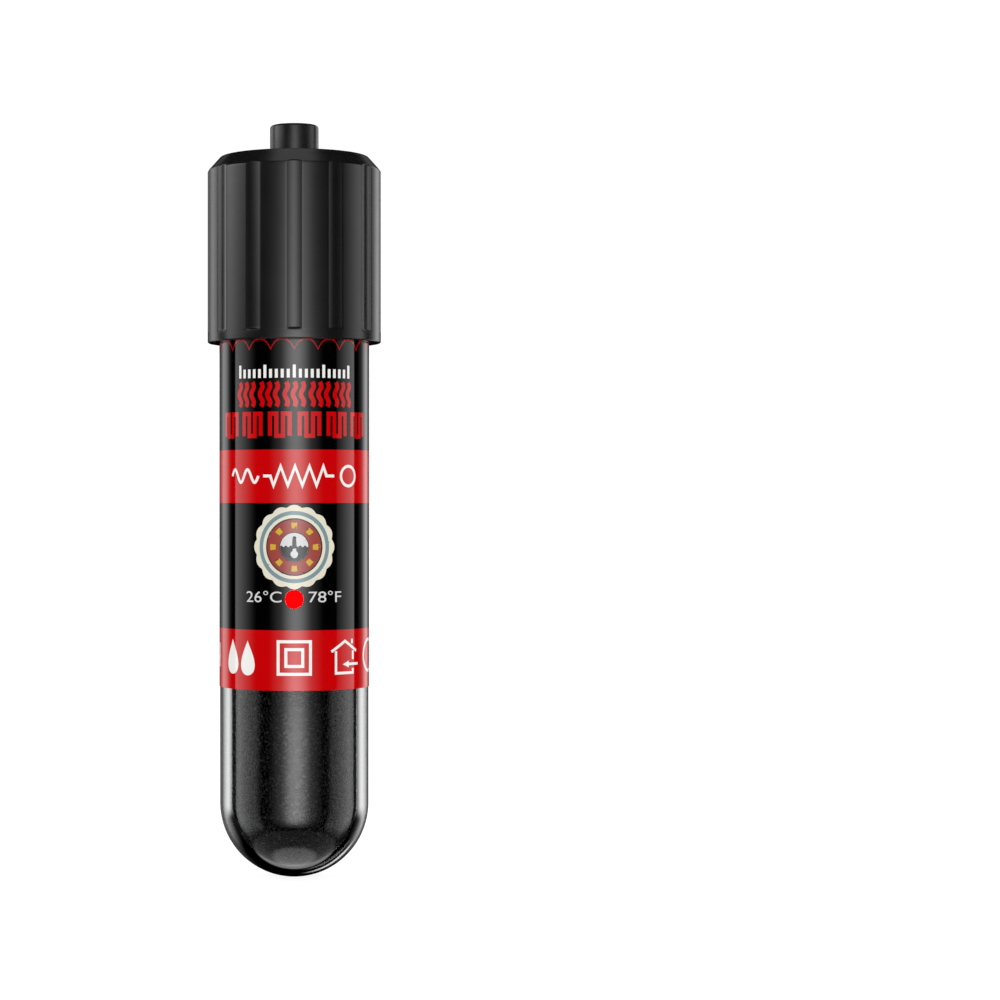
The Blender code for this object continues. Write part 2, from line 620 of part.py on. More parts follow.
for build in (
    glass_tube, printed_sleeve, indicator_window, sand_fill, ceramic_core, heating_coil, mica_disc,
    heater_leads, control_board, cord_terminals, indicator_led, led_shroud, board_parts, thermostat_base,
    calibration_screw, tube_head, seals,
):
    build(tube_axis)
thermostat(tube_axis, blade_hinge)
cord_gland(gland_axis)
screw_cap(cap_axis)
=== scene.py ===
# %% [markdown]
# # A submersible aquarium heater
#
# This is a small heater for a fish tank. A round-bottomed glass tube holds black sand round a heating core.
# A printed sleeve hides the thermostat above it, and a fluted screw cap with a cord gland closes the top.
#
# The functional model of the heater is already made, and it stays as it is. The lesson builds the fine
# surfaces round it: the shapes that the eye meets first, and a finish for every piece, inside and out.

# %% Load the functional model
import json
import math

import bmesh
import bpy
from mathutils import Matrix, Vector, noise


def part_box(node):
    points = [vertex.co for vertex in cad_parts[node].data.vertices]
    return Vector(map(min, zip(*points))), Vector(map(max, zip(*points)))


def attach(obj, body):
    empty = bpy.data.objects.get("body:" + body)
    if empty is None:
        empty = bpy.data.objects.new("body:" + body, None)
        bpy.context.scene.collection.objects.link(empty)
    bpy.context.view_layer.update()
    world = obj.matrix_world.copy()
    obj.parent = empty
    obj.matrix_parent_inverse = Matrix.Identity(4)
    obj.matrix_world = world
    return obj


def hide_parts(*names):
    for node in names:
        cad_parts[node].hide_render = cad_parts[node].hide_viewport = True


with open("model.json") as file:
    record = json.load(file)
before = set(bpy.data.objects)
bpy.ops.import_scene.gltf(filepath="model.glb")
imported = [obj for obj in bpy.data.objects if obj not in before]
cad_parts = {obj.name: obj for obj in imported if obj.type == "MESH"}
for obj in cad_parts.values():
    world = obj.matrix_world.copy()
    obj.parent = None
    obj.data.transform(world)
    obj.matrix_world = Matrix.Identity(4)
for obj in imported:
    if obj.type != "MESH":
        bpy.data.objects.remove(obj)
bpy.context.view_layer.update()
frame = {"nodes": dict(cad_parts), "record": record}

# %% [markdown]
# ## Measures
#
# Every fine piece has to sit exactly where the functional one does. The sizes could be typed in again, but
# two copies of a number drift apart. So they are read from the loaded nodes, and only what a box cannot
# tell, such as a wall's thickness, is stated here.

MM = 0.001

TUBE_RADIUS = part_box("glass_tube")[1].x
TUBE_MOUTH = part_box("glass_tube")[1].z
TUBE_WALL = 1.5 * MM
SLEEVE_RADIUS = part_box("printed_sleeve")[1].x
SLEEVE_FILM = 0.06 * MM
SLEEVE_BOTTOM, SLEEVE_TOP = (corner.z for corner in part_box("printed_sleeve"))
WINDOW_HEIGHT = sum(corner.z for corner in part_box("indicator_window")) / 2
WINDOW_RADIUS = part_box("indicator_window")[1].x
CAP_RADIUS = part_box("screw_cap")[1].y
CAP_BOTTOM, CAP_TOP = (corner.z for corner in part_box("screw_cap"))
GLAND_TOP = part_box("cord_gland")[1].z

for label, value in {"tube": TUBE_RADIUS, "sleeve": SLEEVE_RADIUS, "cap": CAP_RADIUS}.items():
    print(f"{label} radius {value / MM:.2f} mm")
print(f"sleeve from {SLEEVE_BOTTOM / MM:.1f} to {SLEEVE_TOP / MM:.1f} mm")
print(f"indicator at {WINDOW_HEIGHT / MM:.2f} mm")

# %% [markdown]
# ## Camera
#
# A catalogue view of a tube is taken straight on, from half its height, so that its sides stay upright. A
# long lens from a third of a metre keeps the ends' curves shallow. The lens shift slides the heater to the
# left of the frame without turning the camera.

# %% Place the camera
CAMERA_DISTANCE = 0.3497
CAMERA_HEIGHT = 50.55 * MM

camera = bpy.data.objects.new("camera", bpy.data.cameras.new("camera"))
bpy.context.scene.collection.objects.link(camera)
bpy.context.scene.camera = camera
camera.location = (0, -CAMERA_DISTANCE, CAMERA_HEIGHT)
camera.rotation_euler = (math.radians(90), 0, 0)
camera.data.lens = 93.6
camera.data.shift_x = 0.2057
bpy.context.scene.view_settings.view_transform = "Standard"
print(f"the camera stands {CAMERA_DISTANCE:.2f} m in front, {CAMERA_HEIGHT / MM:.0f} mm up")

# %% [markdown]
# ## Node helpers
#
# A node tree is quicker to read when each node is one line. `put` adds a node and fills its sockets, either
# with a value or with another node's output.

# %% A helper that places nodes
def put(tree, kind, sockets=None, **settings):
    """Adds a node. Each socket takes a value or another node's output."""
    made = tree.nodes.new(kind)
    for name, value in settings.items():
        setattr(made, name, value)
    for name, value in (sockets or {}).items():
        if isinstance(value, bpy.types.NodeSocket):
            tree.links.new(value, made.inputs[name])
        else:
            made.inputs[name].default_value = value
    return made


def math_node(tree, operation, *values):
    """The result of one Math node."""
    return put(tree, "ShaderNodeMath", dict(enumerate(values)), operation=operation).outputs[0]


def fade(tree, value, start, end, kind="SMOOTHSTEP"):
    """A value that goes from 0 to 1 between start and end, whichever of them is larger."""
    sockets = {"Value": value, "From Min": start, "From Max": end}
    return put(tree, "ShaderNodeMapRange", sockets, interpolation_type=kind).outputs["Result"]


def colour_mix(tree, share, first, second):
    """A colour between first and second."""
    sockets = {0: share, 6: first, 7: second}
    return put(tree, "ShaderNodeMix", sockets, data_type="RGBA").outputs[2]


def new_material(name):
    """A material with an empty node tree, and the tree."""
    material = bpy.data.materials.new(name)
    material.use_nodes = True
    material.node_tree.nodes.clear()
    return material, material.node_tree


def surface_of(tree, sockets):
    """Ends a material's tree in a Principled shader with these sockets."""
    principled = put(tree, "ShaderNodeBsdfPrincipled", sockets)
    put(tree, "ShaderNodeOutputMaterial", {"Surface": principled.outputs[0]})


# %% [markdown]
# ## Studio light
#
# Black plastic and glass have almost no colour of their own, so what they show is the room. In a studio a
# tube is lit with tall soft boxes: one in front gives the line down its middle, one at each side gives a
# band, and one at each side behind gives the bright rims. The rest stays dark.
#
# Area lights could do it, but a dome is easier to aim, because a mirror-like tube shows each direction of
# the room at a fixed place on its side. So a soft box is a strength, and the directions of the compass, in
# degrees from the front, between which its sides fade from dark to full. A box with a hot middle is two
# boxes, a narrow one on a wide one. Glass also shows what stands behind it, and that gets boxes of its own.
# Dull surfaces get an even light.

# %% Build the dome
EVEN_LIGHT = 1.15
BACKDROP = 1.06
FRONT_BOXES = [(2.9, (-22, 2), (28, 2)), (1.2, (-42, -2), (48, 4))]
SIDE_BOXES = [(1.7, (-104, -101), (-58, -104)), (1.8, (66, 70), (58, 108), (106, 103))]
RIM_BOXES = [
    (0.9, (-150, -138), (-116, -131)), (0.5, (-172, -138), (-110, -130)),
    (1.3, (158, 144), (124, 142)), (0.35, (176, 146), (112, 134)),
]
BOXES_ROUND = FRONT_BOXES + SIDE_BOXES + RIM_BOXES
BOXES_BEHIND = [(0.8, (-168, -140), (-124, -139)), (0.95, (126, 146), (171, 146))]


def patch(tree, strength, *fades):
    """A small light where every one of the fades is full."""
    light = strength
    for value, empty, full in fades:
        light = math_node(tree, "MULTIPLY", light, fade(tree, value, empty, full))
    return light


def soft_boxes(tree, compass, boxes):
    """The light that a row of upright soft boxes gives to each direction of the compass."""
    light = 0.0
    for strength, *sides in boxes:
        box = patch(tree, strength, *((compass, empty, full) for empty, full in sides))
        light = math_node(tree, "ADD", light, box)
    return light


def studio_dome():
    """A world whose reflections are soft boxes in a dark room, in front of a white backdrop."""
    world = bpy.data.worlds.new("studio_dome")
    world.use_nodes = True
    world.cycles.sampling_method = "NONE"
    tree = world.node_tree
    tree.nodes.clear()
    direction = put(tree, "ShaderNodeTexCoord").outputs["Generated"]
    right, back, up = put(tree, "ShaderNodeSeparateXYZ", {"Vector": direction}).outputs
    front = math_node(tree, "MULTIPLY", back, -1.0)
    compass = math_node(tree, "DEGREES", math_node(tree, "ARCTAN2", right, front))
    width = math_node(tree, "ABSOLUTE", right)

    ring = soft_boxes(tree, compass, BOXES_ROUND)
    dimmed_above = math_node(tree, "SUBTRACT", 1.0, patch(tree, 0.55, (front, 0.6, 0.8), (up, 0.065, 0.12)))
    stronger_below = math_node(tree, "ADD", 1.0, patch(tree, 0.35, (front, 0.6, 0.8), (up, -0.05, -0.09)))
    ring = patch(tree, ring, (up, 0.55, 0.4), (up, -0.6, -0.3), (dimmed_above, 0.0, 1.0))
    ring = math_node(tree, "MULTIPLY", ring, stronger_below)
    high_left = patch(tree, 1.3, (compass, -118, -104), (compass, -40, -70), (up, 0.08, 0.16),
                      (up, 0.6, 0.45))
    overhead = patch(tree, 0.75, (up, 0.88, 0.97), (width, 0.32, 0.18))
    under = patch(tree, 1.5, (up, -0.9, -0.96), (width, 0.6, 0.4))
    mirrored = ring
    for light in (high_left, overhead, under):
        mirrored = math_node(tree, "ADD", mirrored, light)

    behind = patch(tree, soft_boxes(tree, compass, BOXES_BEHIND), (up, -0.26, -0.12))
    crescent = patch(tree, 1.0, (right, 0.02, 0.1), (right, 0.3, 0.24), (up, -0.43, -0.37),
                     (up, -0.25, -0.31), (back, 0.5, 0.6))
    table = patch(tree, 0.22, (up, -0.66, -0.72))
    aside = math_node(tree, "ABSOLUTE", compass)
    sides = patch(tree, 0.7, (aside, 118, 104), (aside, 58, 72), (up, -0.7, -0.5), (up, 0.7, 0.5))
    through = behind
    for light in (crescent, table, sides):
        through = math_node(tree, "ADD", through, light)

    path = put(tree, "ShaderNodeLightPath").outputs
    light = mirrored
    for which, value in (("Is Transmission Ray", through), ("Is Diffuse Ray", EVEN_LIGHT),
                         ("Is Camera Ray", BACKDROP)):
        light = put(tree, "ShaderNodeMix", {"Factor": path[which], "A": light, "B": value}).outputs["Result"]
    background = put(tree, "ShaderNodeBackground", {"Color": (1, 1, 1, 1), "Strength": light})
    put(tree, "ShaderNodeOutputWorld", {"Surface": background.outputs[0]})
    return world


bpy.context.scene.world = studio_dome()
print(f"{len(BOXES_ROUND)} soft boxes in the room, and {len(BOXES_BEHIND)} behind the glass")

# %% [markdown]
# ## Floor
#
# The heater stands on a white table. The table glows a little of its own, as a light table does, so it
# melts into the backdrop and keeps only a trace of shadow. Polished pieces do not mirror it.

# %% Lay the floor
FLOOR_SIZE = 6.0


def floor_material():
    """White laminate that glows for the camera and is plain to everything else."""
    material, tree = new_material("white_table")
    speckle = put(tree, "ShaderNodeTexNoise", {"Scale": 900.0, "Detail": 2.0}).outputs[0]
    tint = colour_mix(tree, speckle, (0.78, 0.78, 0.78, 1), (0.84, 0.84, 0.84, 1))
    plain = put(tree, "ShaderNodeBsdfDiffuse", {"Color": tint})
    soft = put(tree, "ShaderNodeBsdfDiffuse", {"Color": (0.25, 0.25, 0.25, 1)})
    glow = put(tree, "ShaderNodeEmission", {"Strength": 0.9})
    table = put(tree, "ShaderNodeAddShader", {0: soft.outputs[0], 1: glow.outputs[0]})
    seen = put(tree, "ShaderNodeLightPath").outputs["Is Camera Ray"]
    both = put(tree, "ShaderNodeMixShader", {0: seen, 1: plain.outputs[0], 2: table.outputs[0]})
    put(tree, "ShaderNodeOutputMaterial", {"Surface": both.outputs[0]})
    return material


floor_mesh = bpy.data.meshes.new("floor")
reach = FLOOR_SIZE / 2
floor_mesh.from_pydata([(-reach, -reach, 0), (reach, -reach, 0), (reach, reach, 0), (-reach, reach, 0)],
                       [], [(0, 1, 2, 3)])
floor_mesh.materials.append(floor_material())
floor = bpy.data.objects.new("floor", floor_mesh)
floor.location.z = -0.02 * MM
floor.visible_glossy = False
floor.visible_transmission = False
bpy.context.scene.collection.objects.link(floor)
print(f"a floor {FLOOR_SIZE:.0f} m square")

# %% [markdown]
# ## Shared surface effects
#
# Four patterns cover nearly every finish in a heater: the fine grain of a moulded surface, the lines that
# drawing or brushing leaves in metal, the granules of sand and of fired ceramic, and the weave of glass
# cloth. Each is a node group with the same sockets, so a finish can change its pattern by one word: a size
# and a stretch go in, a tone and a height come out. Two more groups say where hands have polished a surface
# and where an edge is worn.

# %% Build the node groups
def new_group(name, inputs, outputs):
    """An empty shader group with named sockets, and its two end nodes."""
    group = bpy.data.node_groups.new(name, "ShaderNodeTree")
    for label, value in inputs.items():
        kind = "NodeSocketVector" if isinstance(value, tuple) else "NodeSocketFloat"
        socket = group.interface.new_socket(label, in_out="INPUT", socket_type=kind)
        socket.default_value = value
    for label in outputs:
        group.interface.new_socket(label, in_out="OUTPUT", socket_type="NodeSocketFloat")
    return group, group.nodes.new("NodeGroupInput"), group.nodes.new("NodeGroupOutput")


def pattern_space(tree, start):
    """Object coordinates, stretched, and counted in pattern sizes."""
    place = put(tree, "ShaderNodeTexCoord").outputs["Object"]
    sockets = {0: place, 1: start.outputs["Stretch"]}
    stretched = put(tree, "ShaderNodeVectorMath", sockets, operation="MULTIPLY")
    across = math_node(tree, "DIVIDE", 1.0, start.outputs["Size"])
    sockets = {"Vector": stretched.outputs[0], "Scale": across}
    return put(tree, "ShaderNodeVectorMath", sockets, operation="SCALE").outputs[0]


def pattern_group(name, draw):
    """A pattern with a size and a stretch, which gives a tone and a height."""
    group, start, end = new_group(name, {"Size": 0.3 * MM, "Stretch": (1.0, 1.0, 1.0)}, ("Tone", "Height"))
    tone, height = draw(group, pattern_space(group, start))
    group.links.new(tone, end.inputs["Tone"])
    group.links.new(height, end.inputs["Height"])
    return group


def draw_grain(tree, space):
    fine = put(tree, "ShaderNodeTexNoise", {"Vector": space, "Scale": 1.0, "Detail": 3.0, "Roughness": 0.6})
    broad = put(tree, "ShaderNodeTexNoise", {"Vector": space, "Scale": 0.04, "Detail": 2.0})
    tone = math_node(tree, "MULTIPLY", fine.outputs[0], broad.outputs[0])
    return math_node(tree, "MULTIPLY", tone, 2.0), fine.outputs[0]


def draw_lines(tree, space):
    fine = put(tree, "ShaderNodeTexNoise", {"Vector": space, "Scale": 1.0, "Detail": 5.0, "Roughness": 0.7})
    tarnish = put(tree, "ShaderNodeTexNoise", {"Vector": space, "Scale": 0.11, "Detail": 2.0})
    tone = math_node(tree, "ADD", math_node(tree, "MULTIPLY", fine.outputs[0], 0.6),
                     math_node(tree, "MULTIPLY", tarnish.outputs[0], 0.4))
    return tone, fine.outputs[0]


def draw_granules(tree, space):
    cells = put(tree, "ShaderNodeTexVoronoi", {"Vector": space, "Scale": 1.0})
    shade = put(tree, "ShaderNodeSeparateColor", {"Color": cells.outputs["Color"]}).outputs[0]
    return math_node(tree, "POWER", shade, 5.0), fade(tree, cells.outputs["Distance"], 0.8, 0.0)


def draw_weave(tree, space):
    sockets = {"Vector": space, "Scale": 0.5, "Distortion": 0.4}
    waves = [put(tree, "ShaderNodeTexWave", sockets, bands_direction=axis) for axis in ("X", "Z")]
    crossing = math_node(tree, "MAXIMUM", waves[0].outputs[1], waves[1].outputs[1])
    return crossing, crossing


PATTERNS = {
    "grain": pattern_group("moulded_grain", draw_grain),
    "lines": pattern_group("drawn_lines", draw_lines),
    "granules": pattern_group("granules", draw_granules),
    "weave": pattern_group("woven_glass", draw_weave),
}


def handled_group():
    """Where fingers have left a surface smoother or duller."""
    group, start, end = new_group("handled", {"Smoothest": 0.3, "Dullest": 0.5}, ("Roughness",))
    place = put(group, "ShaderNodeTexCoord").outputs["Object"]
    patches = put(group, "ShaderNodeTexNoise", {"Vector": place, "Scale": 260.0, "Detail": 4.0}).outputs[0]
    spread = fade(group, patches, 0.3, 0.7)
    sockets = {"Value": spread, "To Min": start.outputs["Smoothest"], "To Max": start.outputs["Dullest"]}
    group.links.new(put(group, "ShaderNodeMapRange", sockets).outputs[0], end.inputs["Roughness"])
    return group


def worn_group():
    """Outer edges, broken up as wear is."""
    group, start, end = new_group("worn_edges", {"Amount": 0.5}, ("Mask",))
    edges = fade(group, put(group, "ShaderNodeNewGeometry").outputs["Pointiness"], 0.52, 0.62)
    place = put(group, "ShaderNodeTexCoord").outputs["Object"]
    broken = put(group, "ShaderNodeTexNoise", {"Vector": place, "Scale": 1400.0, "Detail": 3.0}).outputs[0]
    mask = math_node(group, "MULTIPLY", edges, fade(group, broken, 0.35, 0.65))
    group.links.new(math_node(group, "MULTIPLY", mask, start.outputs["Amount"]), end.inputs["Mask"])
    return group


HANDLED, WORN = handled_group(), worn_group()
print("node groups:", ", ".join(sorted(g.name for g in bpy.data.node_groups)))

# %% [markdown]
# ## Finishes
#
# A finish is the same recipe for every solid material: a pattern that moves between a deep and a pale
# colour, a roughness that wanders a little, some relief, and a paler tone on worn edges. Only the numbers
# differ, so one function makes them all, and the special ones, glass, ink and lamps, follow it.

# %% A function that makes a finish
def whole(colour):
    return (*colour, 1.0)


def finish(name, deep, pale, rough, pattern="grain", size=0.3 * MM, relief=0.0, stretch=(1, 1, 1), worn=0.3,
           **shader):
    """A material of one pattern between two colours. Relief is the pattern's height in metres."""
    material, tree = new_material(name)
    surface = put(tree, "ShaderNodeGroup", {"Size": size, "Stretch": stretch}, node_tree=PATTERNS[pattern])
    edges = put(tree, "ShaderNodeGroup", {"Amount": worn}, node_tree=WORN)
    touch = put(tree, "ShaderNodeGroup", dict(zip(("Smoothest", "Dullest"), rough)), node_tree=HANDLED)
    body = colour_mix(tree, surface.outputs["Tone"], whole(deep), whole(pale))
    rubbed = [min(1.0, 1.9 * value + 0.01) for value in pale]
    sockets = {
        "Base Color": colour_mix(tree, edges.outputs["Mask"], body, whole(rubbed)),
        "Roughness": touch.outputs["Roughness"],
    }
    if relief:
        bump = put(tree, "ShaderNodeBump", {"Height": surface.outputs["Height"], "Distance": relief})
        sockets["Normal"] = bump.outputs["Normal"]
    sockets.update({key.replace("_", " "): value for key, value in shader.items()})
    surface_of(tree, sockets)
    return material


# %% [markdown]
# ### What the eye meets
#
# The cap is moulded in black plastic with a satin skin, and the gland in rubber, which is duller. The film
# of the sleeve is printed on its inner side, so its inks lie under a clear glossy coat: the coat mirrors
# the soft boxes while the ink below stays saturated. Heater tubes are borosilicate glass, whose slight
# draw lines run along the tube.

# %% Make the outer finishes
satin_cap = finish("satin_cap_plastic", (0.0045, 0.0045, 0.005), (0.0075, 0.0075, 0.008), (0.20, 0.23),
                   size=0.12 * MM, relief=0.002 * MM, worn=0.15)
gland_rubber = finish("gland_rubber", (0.006, 0.006, 0.0065), (0.012, 0.012, 0.0125), (0.24, 0.32),
                      size=0.1 * MM, relief=0.002 * MM, worn=0.2)


def ink(name, colour, shade=0.88):
    """Printing ink under the film's clear gloss."""
    paler = [min(1.0, 1.04 * value) for value in colour]
    return finish(name, [shade * value for value in colour], paler, (0.5, 0.6), size=0.25 * MM, worn=0.0,
                  Specular_IOR_Level=0.0, Coat_Weight=1.0, Coat_Roughness=0.03, Coat_IOR=1.5)


film_black = ink("film_black", (0.0006, 0.0006, 0.0007))
film_red = ink("film_red", (0.56, 0.0009, 0.0022), 0.94)
film_white = ink("film_white", (0.86, 0.85, 0.82), 0.97)
film_grey = ink("film_grey", (0.66, 0.66, 0.66), 0.95)


def clear_glass():
    """Glass with faint draw lines and the slightest green."""
    material, tree = new_material("borosilicate_glass")
    along_tube = {"Size": 3 * MM, "Stretch": (1, 1, 0.05)}
    draw = put(tree, "ShaderNodeGroup", along_tube, node_tree=PATTERNS["lines"])
    sockets = {
        "Base Color": colour_mix(tree, draw.outputs["Tone"], (0.96, 0.985, 0.975, 1), (1, 1, 1, 1)),
        "Roughness": 0.0, "IOR": 1.47, "Transmission Weight": 1.0,
        "Normal": put(tree, "ShaderNodeBump", {"Height": draw.outputs["Height"], "Strength": 0.15,
                                               "Distance": 0.004 * MM}).outputs["Normal"],
    }
    surface_of(tree, sockets)
    return material


tube_glass = clear_glass()
black_sand = finish("black_sand", (0.0003, 0.0003, 0.0004), (0.17, 0.17, 0.175), (0.35, 0.5), "granules",
                    size=0.3 * MM, relief=0.15 * MM, worn=0.0, Specular_IOR_Level=0.35)
print("outer finishes made")

# %% [markdown]
# ## Turned shapes
#
# Cap, gland, tube and sand are all round, so each is an outline spun round the tube's axis. A real edge is
# never sharp, so a corner of an outline may carry a rounding radius as a third number, which becomes a
# short arc.

# %% Helpers for outlines and turning
AROUND = 192


def rounded(outline, steps=5):
    """The outline as (radius, height) points. A corner with a third number is rounded to that radius."""
    points = []
    for before, corner, after in zip(outline[-1:] + outline, outline, outline[1:] + outline[:1]):
        if len(corner) < 3:
            points.append(Vector(corner))
            continue
        tip = Vector(corner[:2])
        back, ahead = (Vector(before[:2]) - tip).normalized(), (Vector(after[:2]) - tip).normalized()
        half = back.angle(ahead) / 2
        run = corner[2] / math.tan(half)
        centre = tip + (back + ahead).normalized() * (corner[2] / math.sin(half))
        first, last = tip + back * run - centre, tip + ahead * run - centre
        for i in range(steps + 1):
            points.append(centre + first.lerp(last, i / steps).normalized() * corner[2])
    return points


def bow(centre_height, radius, start, end, steps):
    """Points on an arc about a centre on the axis, with angles in degrees from the horizontal."""
    angles = [math.radians(start + (end - start) * i / steps) for i in range(steps + 1)]
    return [(radius * math.cos(a), centre_height + radius * math.sin(a)) for a in angles]


def turned(name, rings, closed=False):
    """A mesh from rings of points, each a list all round or one point on the axis, in order."""
    bm = bmesh.new()
    rows = [[bm.verts.new(point) for point in ring] for ring in rings]
    if closed:
        rows.append(rows[0])
    for low, high in zip(rows, rows[1:]):
        count = max(len(low), len(high))
        for k in range(count):
            after = (k + 1) % count
            corners = [low[k % len(low)], low[after % len(low)], high[after % len(high)], high[k % len(high)]]
            bm.faces.new(list(dict.fromkeys(corners)))
    bmesh.ops.recalc_face_normals(bm, faces=bm.faces)
    mesh = bpy.data.meshes.new(name)
    bm.to_mesh(mesh)
    bm.free()
    return mesh


def all_round(radius, height, around=AROUND):
    """One ring of points, or the single point where it meets the axis."""
    if radius < 1e-9:
        return [(0, 0, height)]
    angles = [math.tau * k / around for k in range(around)]
    return [(radius * math.sin(a), -radius * math.cos(a), height) for a in angles]


def show(name, mesh, materials, body, replaced=(), sharp=35):
    """Puts a finished mesh in the scene, on its body."""
    for material in materials:
        mesh.materials.append(material)
    mesh.shade_smooth()
    mesh.set_sharp_from_angle(angle=math.radians(sharp))
    piece = bpy.data.objects.new(name, mesh)
    bpy.context.scene.collection.objects.link(piece)
    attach(piece, body)
    if replaced:
        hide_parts(*replaced)
    print(f"{name}: {len(mesh.polygons)} faces, rides on {body}")
    return piece


# %% [markdown]
# ## Glass tube
#
# The tube is blown like a test tube: one wall, a hemisphere at the bottom and a fire-polished rim. Glass
# only bends light properly when it is a closed wall with an outside and an inside, so both are modelled.
# The many facets matter more here than on a dull piece, because each would show as a flat in the rim light.

# %% Turn the glass tube
bore = TUBE_RADIUS - TUBE_WALL
rim_rounding = 0.7 * MM
wall = [
    (0, 0), *bow(TUBE_RADIUS, TUBE_RADIUS, -90, 0, 48)[1:],
    (TUBE_RADIUS, TUBE_MOUTH, rim_rounding), (bore, TUBE_MOUTH, rim_rounding),
    *bow(TUBE_RADIUS, bore, 0, -90, 40)[:-1], (0, TUBE_WALL),
]
glass = turned("glass_tube_fine", [all_round(*point) for point in rounded(wall)])
show("glass_tube_fine", glass, [tube_glass], "tube", ["glass_tube"])

# %% [markdown]
# ## Black sand
#
# The sand fills the bottom of the tube and carries the heat from the core to the glass. Loose grains would
# be millions of pieces, so the fill stays one solid, and its skin is pushed in between grains: a Voronoi
# distance is nearly zero at the middle of a cell and grows towards its edges, which is what packed grains
# look like through the glass.

# %% Turn the sand and press the grains into it
GRAIN = 0.42 * MM
GRAIN_DEPTH = 0.11 * MM
SAND_SPACING = 0.2 * MM

sand_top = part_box("sand_fill")[1].z
sand_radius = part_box("sand_fill")[1].x
sand_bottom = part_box("sand_fill")[0].z
well_radius = 4.6 * MM
well_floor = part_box("ceramic_core")[0].z - 0.5 * MM


def pressed(point):
    """A point of the sand's skin, moved in where it lies between two grains."""
    place = Vector(point)
    gap = noise.voronoi(place / GRAIN)[0][0]
    axis = Vector((0, 0, max(place.z, TUBE_RADIUS)))
    return place + (axis - place).normalized() * GRAIN_DEPTH * min(1.0, 1.3 * gap) ** 2


bottom_rows = round(math.pi / 2 * sand_radius / SAND_SPACING)
side_rows = round((sand_top - TUBE_RADIUS) / SAND_SPACING)
skin = bow(TUBE_RADIUS, sand_radius, -90, 0, bottom_rows)[1:]
skin += [(sand_radius, TUBE_RADIUS + (sand_top - TUBE_RADIUS) * i / side_rows) for i in range(1, side_rows)]
sand_around = round(math.tau * sand_radius / SAND_SPACING)
sand_rings = [[(0, 0, sand_bottom)]]
sand_rings += [[pressed(p) for p in all_round(*row, sand_around)] for row in skin]
inside = [(sand_radius - GRAIN_DEPTH, sand_top), (well_radius, sand_top), (well_radius, well_floor)]
sand_rings += [all_round(*row, sand_around) for row in inside] + [[(0, 0, well_floor)]]
show("sand_fine", turned("sand_fine", sand_rings), [black_sand], "tube", ["sand_fill"], 80)

# %% [markdown]
# ## Screw cap
#
# Thirteen shallow flutes give fingers a grip. They start just above the cap's lower edge, run up, and run
# out through the chamfer. A boolean would cut them with hard edges, so the cap is drawn ring by ring
# instead: each point takes the smaller of two radii, the turned outline's and the flute's floor, and a soft
# minimum rounds the edge between them. The thread inside is a ridge that climbs round the bore.

# %% Measures of the cap
FLUTES = 13
FLUTE_DEPTH = 0.17 * MM
FLUTE_WIDTH = 2.1 * MM
FLUTE_START = CAP_BOTTOM + 1.15 * MM
FLUTE_FADE = 0.35 * MM
EDGE_SOFTNESS = 0.02 * MM
CHAMFER_RADIUS = 9.95 * MM
CHAMFER_HEIGHT = 1.9 * MM
ROOF = CAP_TOP - 2.55 * MM
ROOF_HOLE = 3.6 * MM
SKIRT_BORE, SKIRT_TOP = 10.3 * MM, CAP_BOTTOM + 8.4 * MM
THREAD_BORE = 9.9 * MM
THREAD_START, THREAD_PITCH, THREAD_TURNS = 83.5 * MM, 2.0 * MM, 2.0
THREAD_PHASE = math.radians(4)
RIDGE_HEIGHT, RIDGE_ROOT, RIDGE_CREST = 0.5 * MM, 0.7 * MM, 0.4 * MM


def soft_least(a, b):
    """The smaller of two lengths, with the change between them rounded."""
    gap = max(EDGE_SOFTNESS - abs(a - b), 0.0)
    return min(a, b) - gap * gap / (4 * EDGE_SOFTNESS)


def smooth_step(value):
    value = min(1.0, max(0.0, value))
    return value * value * (3 - 2 * value)


def cap_angles():
    """Angles round the cap, closer together at the edges of the flutes."""
    half = FLUTE_WIDTH / 2 / CAP_RADIUS
    sector = math.pi / FLUTES
    places = [-sector + (sector - 1.35 * half) * i / 5 for i in range(5)]
    places += [-1.35 * half + 0.55 * half * i / 7 for i in range(7)]
    places += [-0.8 * half + 1.6 * half * i / 8 for i in range(9)]
    places += [-p for p in reversed(places[5:12])] + [-p for p in reversed(places[1:5])]
    return [math.tau * flute / FLUTES + place for flute in range(FLUTES) for place in places]


def flute_floor(angle, height):
    """The radius that the flute nearest to this angle allows at this height."""
    step = math.tau / FLUTES
    across = ((angle + step / 2) % step - step / 2) * CAP_RADIUS
    depth = FLUTE_DEPTH * (1 - (2 * across / FLUTE_WIDTH) ** 2)
    return CAP_RADIUS - depth * smooth_step((height - FLUTE_START) / FLUTE_FADE)


def thread_radius(angle, height):
    """The bore's radius, which the ridge of the thread makes smaller as it climbs."""
    nearest = THREAD_BORE
    for turn in range(-1, 3):
        along = (angle - THREAD_PHASE) / math.tau + turn
        if 0 <= along <= THREAD_TURNS:
            off = abs(height - THREAD_START - THREAD_PITCH * along)
            slope = (off - RIDGE_CREST / 2) / (RIDGE_ROOT / 2 - RIDGE_CREST / 2)
            nearest = min(nearest, THREAD_BORE - RIDGE_HEIGHT * min(1.0, max(0.0, 1 - slope)))
    return nearest


# %% Draw the cap ring by ring
angles = cap_angles()


def ring_of(radii, height):
    """One ring of the cap, from its radius at each of the angles."""
    return [(r * math.sin(a), -r * math.cos(a), height) for r, a in zip(radii, angles)]


def cap_ring(radius, height, shape=None):
    """One ring of the cap. A shape may make the radius depend on the angle."""
    return ring_of([soft_least(radius, shape(a, height)) if shape else radius for a in angles], height)


